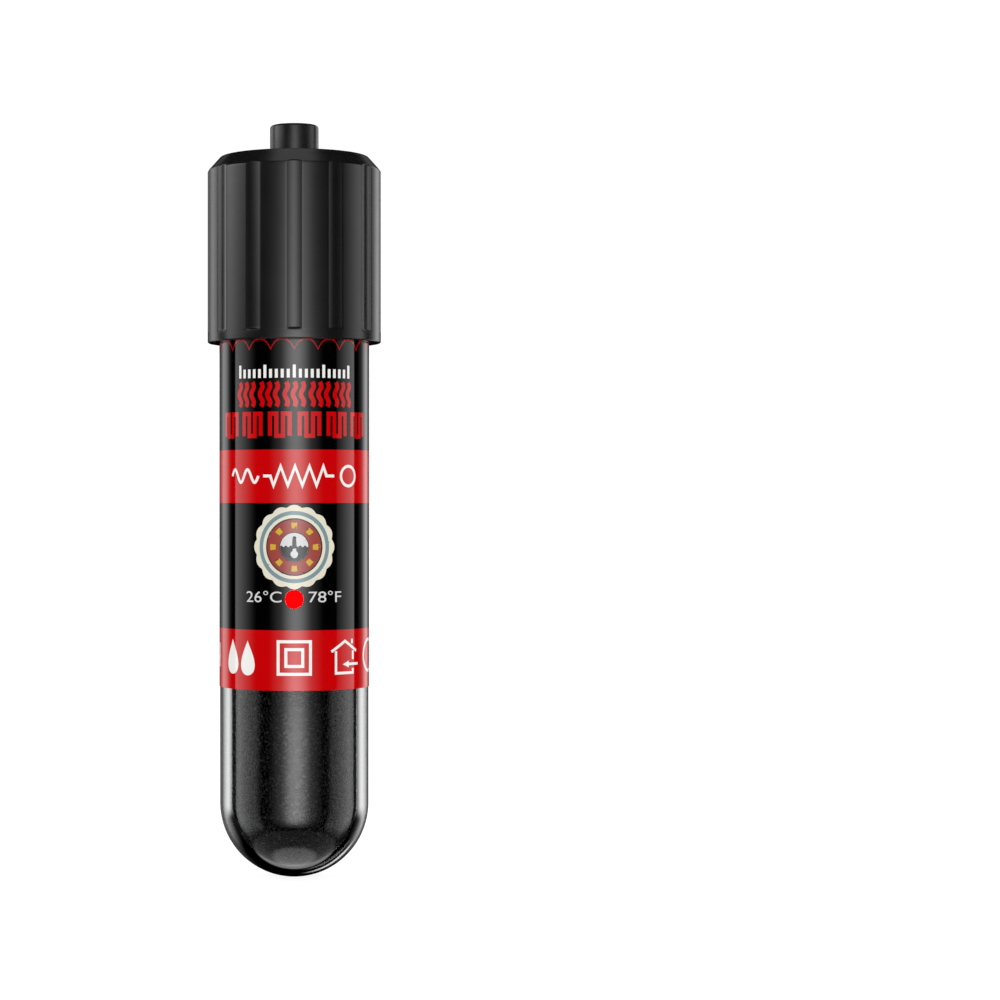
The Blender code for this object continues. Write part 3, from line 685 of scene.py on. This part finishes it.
shoulder = CAP_TOP - CHAMFER_HEIGHT
outer = rounded([
    (SKIRT_BORE, CAP_BOTTOM), (CAP_RADIUS, CAP_BOTTOM, 0.25 * MM),
    (CAP_RADIUS, shoulder, 0.22 * MM), (CHAMFER_RADIUS, CAP_TOP, 0.3 * MM), (ROOF_HOLE, CAP_TOP),
])
start_rows = [FLUTE_START - 0.1 * MM + (FLUTE_FADE + 0.2 * MM) * i / 8 for i in range(9)]
flute_run = shoulder - 0.4 * MM - start_rows[-1]
wall_rows = start_rows + [start_rows[-1] + flute_run * i / 16 for i in range(1, 17)]
chamfer_rows = [(CAP_RADIUS + (CHAMFER_RADIUS - CAP_RADIUS) * t, shoulder + CHAMFER_HEIGHT * t)
                for t in (0.12 + 0.03 * i for i in range(20))]
split = next(i for i, point in enumerate(outer) if point.y > CAP_BOTTOM + MM)
top = next(i for i, point in enumerate(outer) if point.y > shoulder + 0.75 * CHAMFER_HEIGHT)
outer_rows = [tuple(p) for p in outer[:split]] + [(CAP_RADIUS, z) for z in wall_rows]
outer_rows += [tuple(p) for p in outer[split:top]] + chamfer_rows + [tuple(p) for p in outer[top:]]
cap_rings = [cap_ring(SKIRT_BORE, CAP_BOTTOM)]
cap_rings += [cap_ring(radius, height, flute_floor) for radius, height in outer_rows[1:-1]]
cap_rings += [cap_ring(ROOF_HOLE, CAP_TOP), cap_ring(ROOF_HOLE, ROOF), cap_ring(THREAD_BORE, ROOF)]
thread_low = THREAD_START - 0.6 * MM
thread_high = THREAD_START + THREAD_PITCH * THREAD_TURNS + 0.6 * MM
thread_steps = 64
for i in range(thread_steps + 1):
    level = thread_high + (thread_low - thread_high) * i / thread_steps
    cap_rings.append(ring_of([thread_radius(a, level) for a in angles], level))
cap_rings += [cap_ring(THREAD_BORE, SKIRT_TOP + SKIRT_BORE - THREAD_BORE), cap_ring(SKIRT_BORE, SKIRT_TOP)]
cap_mesh = turned("screw_cap_fine", cap_rings, closed=True)
show("screw_cap_fine", cap_mesh, [satin_cap], "cap", ["screw_cap"], 50)

# %% [markdown]
# ## Cord gland
#
# The gland is a rubber bush that the cord leaves by. Only its outside and the edge of its bore are seen.
# A small foot ring and a rounded mouth are what catch the light, so its outline carries those.

# %% Turn the gland
GLAND_BORE = 1.75 * MM
gland_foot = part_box("cord_gland")[0].z
gland_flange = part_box("cord_gland")[1].x
GLAND_RADIUS = 3.26 * MM
GLAND_LIP = 3.42 * MM
lip_top = CAP_TOP + 0.35 * MM
flange_top = ROOF - 0.15 * MM
gland_outline = [
    (GLAND_BORE, gland_foot), (gland_flange, gland_foot, 0.1 * MM), (gland_flange, flange_top, 0.1 * MM),
    (GLAND_LIP, flange_top), (GLAND_LIP, lip_top, 0.06 * MM), (GLAND_RADIUS, lip_top + 0.2 * MM),
    (GLAND_RADIUS, GLAND_TOP, 0.35 * MM), (GLAND_BORE, GLAND_TOP, 0.25 * MM),
]
gland_rings = [all_round(*point, 96) for point in rounded(gland_outline)]
show("cord_gland_fine", turned("cord_gland_fine", gland_rings, closed=True), [gland_rubber], "gland",
     ["cord_gland"])

# %% [markdown]
# ## Printing on a tube
#
# The sleeve is a flat print shrunk round the glass, so it is drawn flat here too, in millimetres: x runs
# round the tube from the front, y runs up it. A filled two-dimensional curve turns outlines into faces and
# makes the holes. The faces are then cut into narrow strips, so that they can bend, and rolled round the
# tube as a thin closed skin.

# %% Helpers that draw flat and roll round
STRIP = math.tau / 180 * SLEEVE_RADIUS / MM
HALF_WAY = math.pi * SLEEVE_RADIUS / MM
CUT_DISTANCE, SEAM_MARGIN, WELD = 1e-5, 1e-3, 1e-7


def filled(loops):
    """A flat mesh inside closed outlines. An outline within another makes a hole."""
    curve = bpy.data.curves.new("outline", "CURVE")
    curve.dimensions = "2D"
    curve.fill_mode = "BOTH"
    for loop in loops:
        spline = curve.splines.new("POLY")
        spline.points.add(len(loop) - 1)
        for point, (x, y) in zip(spline.points, loop):
            point.co = (x, y, 0, 1)
        spline.use_cyclic_u = True
    return as_mesh(curve)


def as_mesh(curve):
    """The flat mesh of a curve or a text."""
    holder = bpy.data.objects.new("outline", curve)
    bpy.context.scene.collection.objects.link(holder)
    bpy.context.view_layer.update()
    mesh = bpy.data.meshes.new_from_object(holder.evaluated_get(bpy.context.evaluated_depsgraph_get()))
    bpy.data.objects.remove(holder)
    return mesh


def cut(bm, place, across):
    """Cuts a flat mesh along the line through a place."""
    bmesh.ops.bisect_plane(bm, geom=bm.verts[:] + bm.edges[:] + bm.faces[:], dist=CUT_DISTANCE,
                           plane_co=place, plane_no=across)


def cut_in_strips(bm):
    """Cuts a flat mesh at every facet line of the tube."""
    low, high = min(v.co.x for v in bm.verts), max(v.co.x for v in bm.verts)
    for i in range(math.ceil(low / STRIP), math.floor(high / STRIP) + 1):
        cut(bm, (i * STRIP, 0, 0), (1, 0, 0))


def rolled(name, flat, inner, outer):
    """Rolls a flat mesh round the tube, as a closed skin between two radii."""
    bm, skin = bmesh.new(), {}
    for v in flat.verts:
        angle = v.co.x * MM / SLEEVE_RADIUS
        skin[v] = [bm.verts.new((r * math.sin(angle), -r * math.cos(angle), v.co.y * MM))
                   for r in (outer, inner)]
    for face in flat.faces:
        corners = list(face.verts) if face.normal.z > 0 else list(reversed(face.verts))
        for side, order in ((0, corners), (1, corners[::-1])):
            bm.faces.new([skin[v][side] for v in order]).material_index = face.material_index
        for a, b in zip(corners, corners[1:] + corners[:1]):
            seam = min(abs(a.co.x), abs(b.co.x)) > HALF_WAY - SEAM_MARGIN
            if len(flat.edges.get((a, b)).link_faces) == 1 and not seam:
                rim = bm.faces.new([skin[b][0], skin[a][0], skin[a][1], skin[b][1]])
                rim.material_index = face.material_index
    bmesh.ops.remove_doubles(bm, verts=bm.verts, dist=WELD)
    mesh = bpy.data.meshes.new(name)
    bm.to_mesh(mesh)
    bm.free()
    return mesh


INK_THICKNESS = 0.012 * MM


def printed(name, layers):
    """One printed piece. Each layer is a flat mesh and its ink."""
    flat = bmesh.new()
    for index, (mesh, _) in enumerate(layers):
        before = len(flat.faces)
        flat.from_mesh(mesh)
        flat.faces.ensure_lookup_table()
        for face in flat.faces[before:]:
            face.material_index = index
    cut_in_strips(flat)
    flat.normal_update()
    mesh = rolled(name, flat, SLEEVE_RADIUS - INK_THICKNESS / 2, SLEEVE_RADIUS + INK_THICKNESS)
    return show(name, mesh, [material for _, material in layers], "tube")


def mark(name, loops, colour):
    """A printed piece of one ink."""
    return printed(name, [(filled(loops), colour)])


# %% [markdown]
# ## The sleeve and its window
#
# Two red bands cross the black film. The bands are part of the film, so the film is cut at their edges and
# the faces between take the red ink, which keeps the edges crisp. A round hole at the front holds the
# indicator's window. Lit from behind by its lamp, the window glows evenly and shows no gloss.

# %% Roll the sleeve
RED_BANDS = ((25.6, 33.5), (50.16, 57.16))
WINDOW_GAP = 0.08


def circle(x, y, radius, count=64):
    return [(x + radius * math.cos(math.tau * i / count), y + radius * math.sin(math.tau * i / count))
            for i in range(count)]


def arc(x, y, radius, start, sweep, steps):
    """Points on an arc, from a start angle through a sweep, in radians."""
    angles = [start + sweep * i / steps for i in range(steps + 1)]
    return [(x + radius * math.cos(a), y + radius * math.sin(a)) for a in angles]


def box_outline(left, low, right, high):
    return [(left, low), (right, low), (right, high), (left, high)]


window_y, window_r = WINDOW_HEIGHT / MM, WINDOW_RADIUS / MM
sheet = bmesh.new()
sheet.from_mesh(filled([
    box_outline(-HALF_WAY, SLEEVE_BOTTOM / MM, HALF_WAY, SLEEVE_TOP / MM),
    circle(0, window_y, window_r + WINDOW_GAP, 72),
]))
cut_in_strips(sheet)
for level in {edge for band in RED_BANDS for edge in band}:
    cut(sheet, (0, level, 0), (0, 1, 0))
for face in sheet.faces:
    height = face.calc_center_median().y
    face.material_index = int(any(low < height < high for low, high in RED_BANDS))
sheet.normal_update()
sleeve_mesh = rolled("printed_sleeve_fine", sheet, SLEEVE_RADIUS - SLEEVE_FILM, SLEEVE_RADIUS)
show("printed_sleeve_fine", sleeve_mesh, [film_black, film_red], "tube", ["printed_sleeve"])


def lit_window():
    """A red patch that its lamp lights evenly, with a slightly hotter middle."""
    material, tree = new_material("lit_window")
    place = put(tree, "ShaderNodeTexCoord").outputs["Object"]
    middle = (0, -SLEEVE_RADIUS, WINDOW_HEIGHT)
    away = put(tree, "ShaderNodeVectorMath", {0: place, 1: middle}, operation="DISTANCE").outputs["Value"]
    hot = fade(tree, away, WINDOW_RADIUS, 0.0)
    sockets = {
        "Base Color": colour_mix(tree, hot, (0.55, 0.001, 0.003, 1), (0.65, 0.002, 0.003, 1)),
        "Emission Color": colour_mix(tree, hot, (0.80, 0.0, 0.0, 1), (1.0, 0.0, 0.0, 1)),
        "Emission Strength": 0.7, "Roughness": 0.9, "Specular IOR Level": 0.0,
    }
    surface_of(tree, sockets)
    return material


window_flat = bmesh.new()
window_flat.from_mesh(filled([circle(0, window_y, window_r, 72)]))
cut_in_strips(window_flat)
window_flat.normal_update()
window_mesh = rolled("indicator_window_fine", window_flat, SLEEVE_RADIUS - SLEEVE_FILM, SLEEVE_RADIUS)
show("indicator_window_fine", window_mesh, [lit_window()], "tube", ["indicator_window"])

# %% [markdown]
# ## Marks on the sleeve
#
# The marks are plain symbols: a temperature scale, warm-air waves, a heating element's zigzag, a gauge, the
# indicator's two temperatures, and signs for water, double insulation and indoor use. They are made of
# strokes and filled outlines. `stroke` gives a line its width, and joins its corners with a mitre.

# %% A helper that draws strokes
def stroke(points, width, closed=False):
    """The outline of a line with a width, as one loop, or as two when the line is closed."""
    points = [Vector(p) for p in points]
    last = len(points) - 1
    left, right = [], []
    for i, point in enumerate(points):
        back = point - points[i - 1] if i or closed else points[1] - point
        ahead = points[(i + 1) % (last + 1)] - point if i < last or closed else back
        back, ahead = back.normalized(), ahead.normalized()
        side = Vector((-back.y - ahead.y, back.x + ahead.x)).normalized()
        reach = width / 2 / max(0.4, side.dot(Vector((-back.y, back.x))))
        left.append(tuple(point + side * reach))
        right.append(tuple(point - side * reach))
    return [left, right] if closed else [left + right[::-1]]


def along(degrees):
    """How far round the sleeve an angle is, in millimetres."""
    return math.radians(degrees) * SLEEVE_RADIUS / MM


def wavy(x, y, height, sway, waves=1.5, steps=24):
    """An upright wavy line."""
    return [(x + sway * math.sin(math.tau * waves * i / steps), y - height / 2 + height * i / steps)
            for i in range(steps + 1)]


# %% [markdown]
# ### The upper marks
#
# A red edging of scallops closes the print under the cap. Below it come a white temperature scale, a row of
# red warm-air waves, and a row of the square zigzag that stands for a heating element. In the red band a
# thin white line shows alternating current, a resistor and a ring.

# %% Print the upper marks
SCALLOPS = 20
scallop = 2 * HALF_WAY / SCALLOPS
edge_line = []
for k in range(SCALLOPS * 16 + 1):
    x = -HALF_WAY + scallop * k / 16
    from_middle = abs(((x + HALF_WAY) / scallop) % 1 - 0.5) * 2
    edge_line.append((x, 71.62 - 1.3 * from_middle ** 2.6))
band = [(x, y + 0.11) for x, y in edge_line] + [(x, y - 0.11) for x, y in reversed(edge_line)]
mark("scallop_edging", [band], film_red)

SCALE_Y, TICKS, TICK_STEP = 66.55, 21, 0.79
tick_loops = []
for i in range(TICKS):
    x = (i - (TICKS - 1) / 2) * TICK_STEP
    tall = 1.7 if i % 5 == 0 else 1.15
    tick_loops.append(box_outline(x - 0.2, SCALE_Y, x + 0.2, SCALE_Y + tall))
mark("temperature_scale", tick_loops, film_white)

wave_loops = []
for group in range(5):
    for line in range(3):
        x = (group - 2) * 3.42 + (line - 1) * 1.06
        wave_loops += stroke(wavy(x, 64.4, 3.2, 0.2), 0.6)
mark("warm_air_waves", wave_loops, film_red)

zigzag_loops = []
for cell in range(6):
    left, low, high, step = (cell - 3) * 3.95 + 0.7, 58.95, 61.85, 0.88
    corners = [(0, low), (0, high), (1, high), (1, low), (2, low), (2, high), (3, high), (3, low)]
    zigzag_loops += stroke([(left + step * x, y) for x, y in corners], 0.56)
mark("element_zigzag", zigzag_loops, film_red)

CURRENT_Y, THIN_LINE = 53.7, 0.38
current = [(-9.5 + 4.6 * i / 40, CURRENT_Y + 0.85 * math.sin(math.tau * 2 * i / 40)) for i in range(41)]
teeth = [(-2.75 + 0.95 * i, CURRENT_Y + (1.25 if i % 2 else -1.25)) for i in range(8)]
resistor = [(-4.2, CURRENT_Y), (-3.2, CURRENT_Y), *teeth, (4.35, CURRENT_Y), (5.5, CURRENT_Y)]
ring = stroke(circle(7.9, CURRENT_Y, 1.3, 48), THIN_LINE, closed=True)
mark("current_line", stroke(current, THIN_LINE) + stroke(resistor, THIN_LINE) + ring, film_white)

# %% [markdown]
# ### The gauge
#
# The round badge is drawn as a small gauge: a pale scalloped bezel with a blue-grey ring in it, a brick red
# dial with eight marks, and a light centre where a thermometer stands in water. Its rings lie side by side,
# never on top of each other, so no two inks share a face.

# %% Print the gauge
GAUGE_Y = 44.4
cream = ink("film_cream", (0.78, 0.74, 0.60), 0.9)
blue_grey = ink("film_blue_grey", (0.20, 0.30, 0.33), 0.85)
brick = ink("film_brick", (0.33, 0.055, 0.045), 0.9)
yellow = ink("film_yellow", (0.62, 0.40, 0.03), 0.9)
charcoal = ink("film_charcoal", (0.035, 0.04, 0.045), 0.9)


def gauge_circle(radius):
    return circle(0, GAUGE_Y, radius, 96)


def ringed(outer_loop, inner_radius):
    return filled([outer_loop, gauge_circle(inner_radius)])


def bezel(radius, swell, lobes, count=240):
    """A circle whose edge swells in and out."""
    loop = []
    for i in range(count):
        turn = math.tau * i / count
        r = radius + swell * abs(math.cos(lobes * turn / 2))
        loop.append((r * math.cos(turn), GAUGE_Y + r * math.sin(turn)))
    return loop


def polar_cell(turn, half_turn, inner, outer_r, steps=3):
    """A piece of a ring, such as a mark of a dial."""
    far, near = (arc(0, GAUGE_Y, r, turn - half_turn, 2 * half_turn, steps) for r in (outer_r, inner))
    return far + near[::-1]


MARKS = 8
mark_cells = [polar_cell(math.tau * i / MARKS, 0.13, 2.45, 3.2) for i in range(MARKS)]
bulb_y, bulb_r, stem_top, stem_half = GAUGE_Y - 0.95, 0.5, GAUGE_Y + 1.2, 0.24
water_level, water_radius = GAUGE_Y + 0.1, 1.84
shore = math.asin((water_level - GAUGE_Y) / water_radius)
basin = arc(0, GAUGE_Y, water_radius, math.pi - shore, math.pi + 2 * shore, 48)
ripples = [(x, water_level + 0.12 * math.sin(math.tau * 1.6 * x)) for x in (1.7 - 0.1 * i for i in range(15))]
stem = arc(0, stem_top, stem_half, 0, math.pi, 8)
water = basin + ripples + stem + [(-x, 2 * water_level - y) for x, y in reversed(ripples)]
join = math.acos(stem_half / bulb_r)
bulb = [(stem_half, water_level - 0.3), (-stem_half, water_level - 0.3)]
bulb += arc(0, bulb_y, bulb_r, math.pi - join, math.pi + 2 * join, 24)
BEZEL_BORE, DIAL, CENTRE_RIM, CENTRE = 4.72, 3.6, 1.95, 1.85
RINGS = [(BEZEL_BORE, 4.2, blue_grey), (4.2, 3.78, cream), (3.78, DIAL, charcoal)]
centre = gauge_circle(CENTRE)
printed("gauge", [
    (ringed(bezel(5.2, 0.32, 16), BEZEL_BORE), cream),
    *[(ringed(gauge_circle(far), near), colour) for far, near, colour in RINGS],
    (filled([gauge_circle(DIAL), gauge_circle(CENTRE_RIM)] + mark_cells), brick),
    (filled(mark_cells), yellow),
    (ringed(gauge_circle(CENTRE_RIM), CENTRE), charcoal),
    (filled([centre, water]), film_grey),
    (filled([bulb]), film_grey),
    (filled([water, bulb]), charcoal),
])

# %% [markdown]
# ### The indicator's temperatures
#
# The lamp goes out at the set temperature, so the two scales' values stand beside it as they do on a dial.
# A text object gives their outlines, which are then rolled on like any other mark.

# %% Print the two temperatures
def lettering(text, left, right, low, high):
    """A text as a flat mesh, fitted in a box."""
    font = bpy.data.curves.new("numbers", "FONT")
    font.body = text
    mesh = as_mesh(font)
    xs, ys = [v.co.x for v in mesh.vertices], [v.co.y for v in mesh.vertices]
    for v in mesh.vertices:
        v.co.x = left + (right - left) * (v.co.x - min(xs)) / (max(xs) - min(xs))
        v.co.y = low + (high - low) * (v.co.y - min(ys)) / (max(ys) - min(ys))
        v.co.z = 0
    return mesh


printed("set_temperature", [
    (lettering("26°C", along(-38.6), along(-9.5), 37.15, 38.65), film_grey),
    (lettering("78°F", along(10.7), along(37.7), 37.15, 38.65), film_grey),
])

# %% [markdown]
# ### The lower signs
#
# Two drops say that it works under water, a square in a square that it is double insulated, and a house with
# an arrow that it is for indoors. A ring and a bar stand at the sides. The instructions at the back would be
# unreadable at this size, so rows of dashes stand in for them.

# %% Print the lower signs
SIGN_Y, HOUSE_LINE = 29.9, 0.36


def drop(x, y, width, height, steps=40):
    """A water drop, pointed at the top."""
    loop = []
    for i in range(steps):
        turn = math.tau * i / steps
        loop.append((x + width * math.sin(turn) * math.sin(turn / 2) ** 1.4, y + height / 2 * math.cos(turn)))
    return loop


def square(x, y, side, line):
    half = side / 2
    return stroke(box_outline(x - half, y - half, x + half, y + half), line, closed=True)


drop_loops = [drop(along(-53.6), SIGN_Y, 1.6, 4.6), drop(along(-37.6), SIGN_Y - 0.1, 1.6, 4.6)]
house_x = along(41.5)
roof = [(house_x - 2.2, SIGN_Y + 0.75), (house_x, SIGN_Y + 2.1), (house_x + 2.2, SIGN_Y + 0.75)]
walls = [(house_x + 1.5, SIGN_Y - 1.5), (house_x + 1.5, SIGN_Y - 2.1), (house_x - 1.5, SIGN_Y - 2.1),
         (house_x - 1.5, SIGN_Y + 0.8)]
walls_right = [(house_x + 1.5, SIGN_Y - 0.35), (house_x + 1.5, SIGN_Y + 0.8)]
chimney = box_outline(house_x + 1.15, SIGN_Y + 1.75, house_x + 1.5, SIGN_Y + 2.35)
arrow_y = SIGN_Y - 0.95
arrow = [(house_x - 0.4, arrow_y), (house_x + 0.7, arrow_y - 0.45), (house_x + 0.7, arrow_y - 0.17),
         (house_x + 2.6, arrow_y - 0.17), (house_x + 2.6, arrow_y + 0.17), (house_x + 0.7, arrow_y + 0.17),
         (house_x + 0.7, arrow_y + 0.45)]
house_loops = stroke(roof, HOUSE_LINE) + stroke(walls, HOUSE_LINE) + stroke(walls_right, HOUSE_LINE)
house_loops += [chimney, arrow]
far_ring = stroke(circle(along(77.5), SIGN_Y, 2.1, 64), 0.42, closed=True)
mark("sign_drops", drop_loops, film_white)
mark("sign_squares", square(0, SIGN_Y, 4.25, 0.4) + square(0, SIGN_Y, 2.2, 0.4), film_white)
mark("sign_house", house_loops, film_white)
far_bars = [box_outline(along(-86) + 0.9 * i, SIGN_Y - 1.6, along(-86) + 0.9 * i + 0.4, SIGN_Y + 1.6)
            for i in range(2)]
mark("sign_ring", far_ring + far_bars, film_white)

DASH_ROWS, DASH_STEP = 11, 1.75
dashes = []
for row in range(DASH_ROWS):
    y = 48.4 - 1.2 * row
    for column in range(6):
        x = along(112) + DASH_STEP * column
        length = DASH_STEP - 0.4 - 0.8 * ((row * 5 + column * 3) % 7) / 7
        dashes.append(box_outline(x, y - 0.2, x + length, y + 0.2))
dashes += [[(-x, y) for x, y in reversed(dash)] for dash in dashes]
mark("instruction_rows", dashes, film_grey)

# %% [markdown]
# ## Finishes for the works inside
#
# The pieces inside keep their own shapes, because those are right already. They still need finishes, since
# the heater can be opened: brushed and drawn metals, fired ceramic, woven laminate, mica and resin. The
# table gives each material slot its colours, roughness and pattern.

# %% Give every inner piece its finish
inner_finishes = [
    finish("head_plastic", (0.016, 0.016, 0.017), (0.034, 0.034, 0.036), (0.35, 0.5), size=0.12 * MM,
           relief=0.006 * MM),
    finish("seal_silicone", (0.42, 0.07, 0.045), (0.58, 0.12, 0.08), (0.4, 0.55), size=0.15 * MM,
           relief=0.004 * MM, worn=0.1),
    finish("potting_epoxy", (0.012, 0.012, 0.014), (0.03, 0.03, 0.033), (0.12, 0.25), size=1.2 * MM,
           relief=0.03 * MM, worn=0.0, Coat_Weight=0.6),
    finish("board_laminate", (0.02, 0.10, 0.04), (0.05, 0.20, 0.09), (0.3, 0.42), "weave", size=0.25 * MM,
           relief=0.01 * MM, Coat_Weight=0.4),
    finish("white_ceramic", (0.70, 0.66, 0.58), (0.86, 0.83, 0.77), (0.55, 0.7), "granules",
           size=0.12 * MM, relief=0.008 * MM),
    finish("mica_sheet", (0.42, 0.33, 0.20), (0.72, 0.65, 0.50), (0.2, 0.45), "granules", size=0.7 * MM,
           relief=0.01 * MM, stretch=(1, 1, 0.3)),
    finish("contact_brass", (0.60, 0.39, 0.12), (0.86, 0.64, 0.30), (0.22, 0.38), "lines", size=0.1 * MM,
           relief=0.003 * MM, stretch=(1, 1, 0.08), Metallic=1.0),
    finish("plated_steel", (0.42, 0.42, 0.43), (0.68, 0.68, 0.69), (0.2, 0.36), "lines", size=0.1 * MM,
           relief=0.003 * MM, stretch=(0.08, 1, 1), Metallic=1.0),
    finish("contact_silver", (0.70, 0.69, 0.66), (0.93, 0.92, 0.90), (0.1, 0.25), "lines", size=0.15 * MM,
           relief=0.002 * MM, Metallic=1.0),
    finish("resistance_wire", (0.20, 0.15, 0.13), (0.45, 0.42, 0.42), (0.35, 0.5), "lines", size=0.2 * MM,
           relief=0.004 * MM, Metallic=1.0),
    finish("ferrite", (0.03, 0.03, 0.032), (0.09, 0.09, 0.095), (0.45, 0.6), "granules", size=0.06 * MM,
           relief=0.004 * MM),
    finish("lamp_red", (0.55, 0.004, 0.004), (0.80, 0.02, 0.015), (0.05, 0.12), size=0.5 * MM, worn=0.0,
           Emission_Color=(1.0, 0.02, 0.01, 1.0), Emission_Strength=0.6, Coat_Weight=1.0),
    finish("lead_sleeve", (0.62, 0.59, 0.52), (0.88, 0.86, 0.80), (0.7, 0.85), "weave", size=0.22 * MM,
           relief=0.03 * MM),
    gland_rubber,
]
# The functional model's own materials hold the plain names, so these get a number after a dot.
inner_finish = {made.name.split(".")[0]: made for made in inner_finishes}

replaced = {"glass_tube", "sand_fill", "screw_cap", "cord_gland", "printed_sleeve", "indicator_window"}
slot_of = {part["node"]: part["material_slot"] for part in frame["record"]["subparts"]}
for name, node in frame["nodes"].items():
    if name in replaced:
        continue
    slot = slot_of[name]
    node.data.materials.clear()
    node.data.materials.append(inner_finish[slot])
    node.data.shade_smooth()
    node.data.set_sharp_from_angle(angle=math.radians(30))
    print(f"{name}: {slot}")
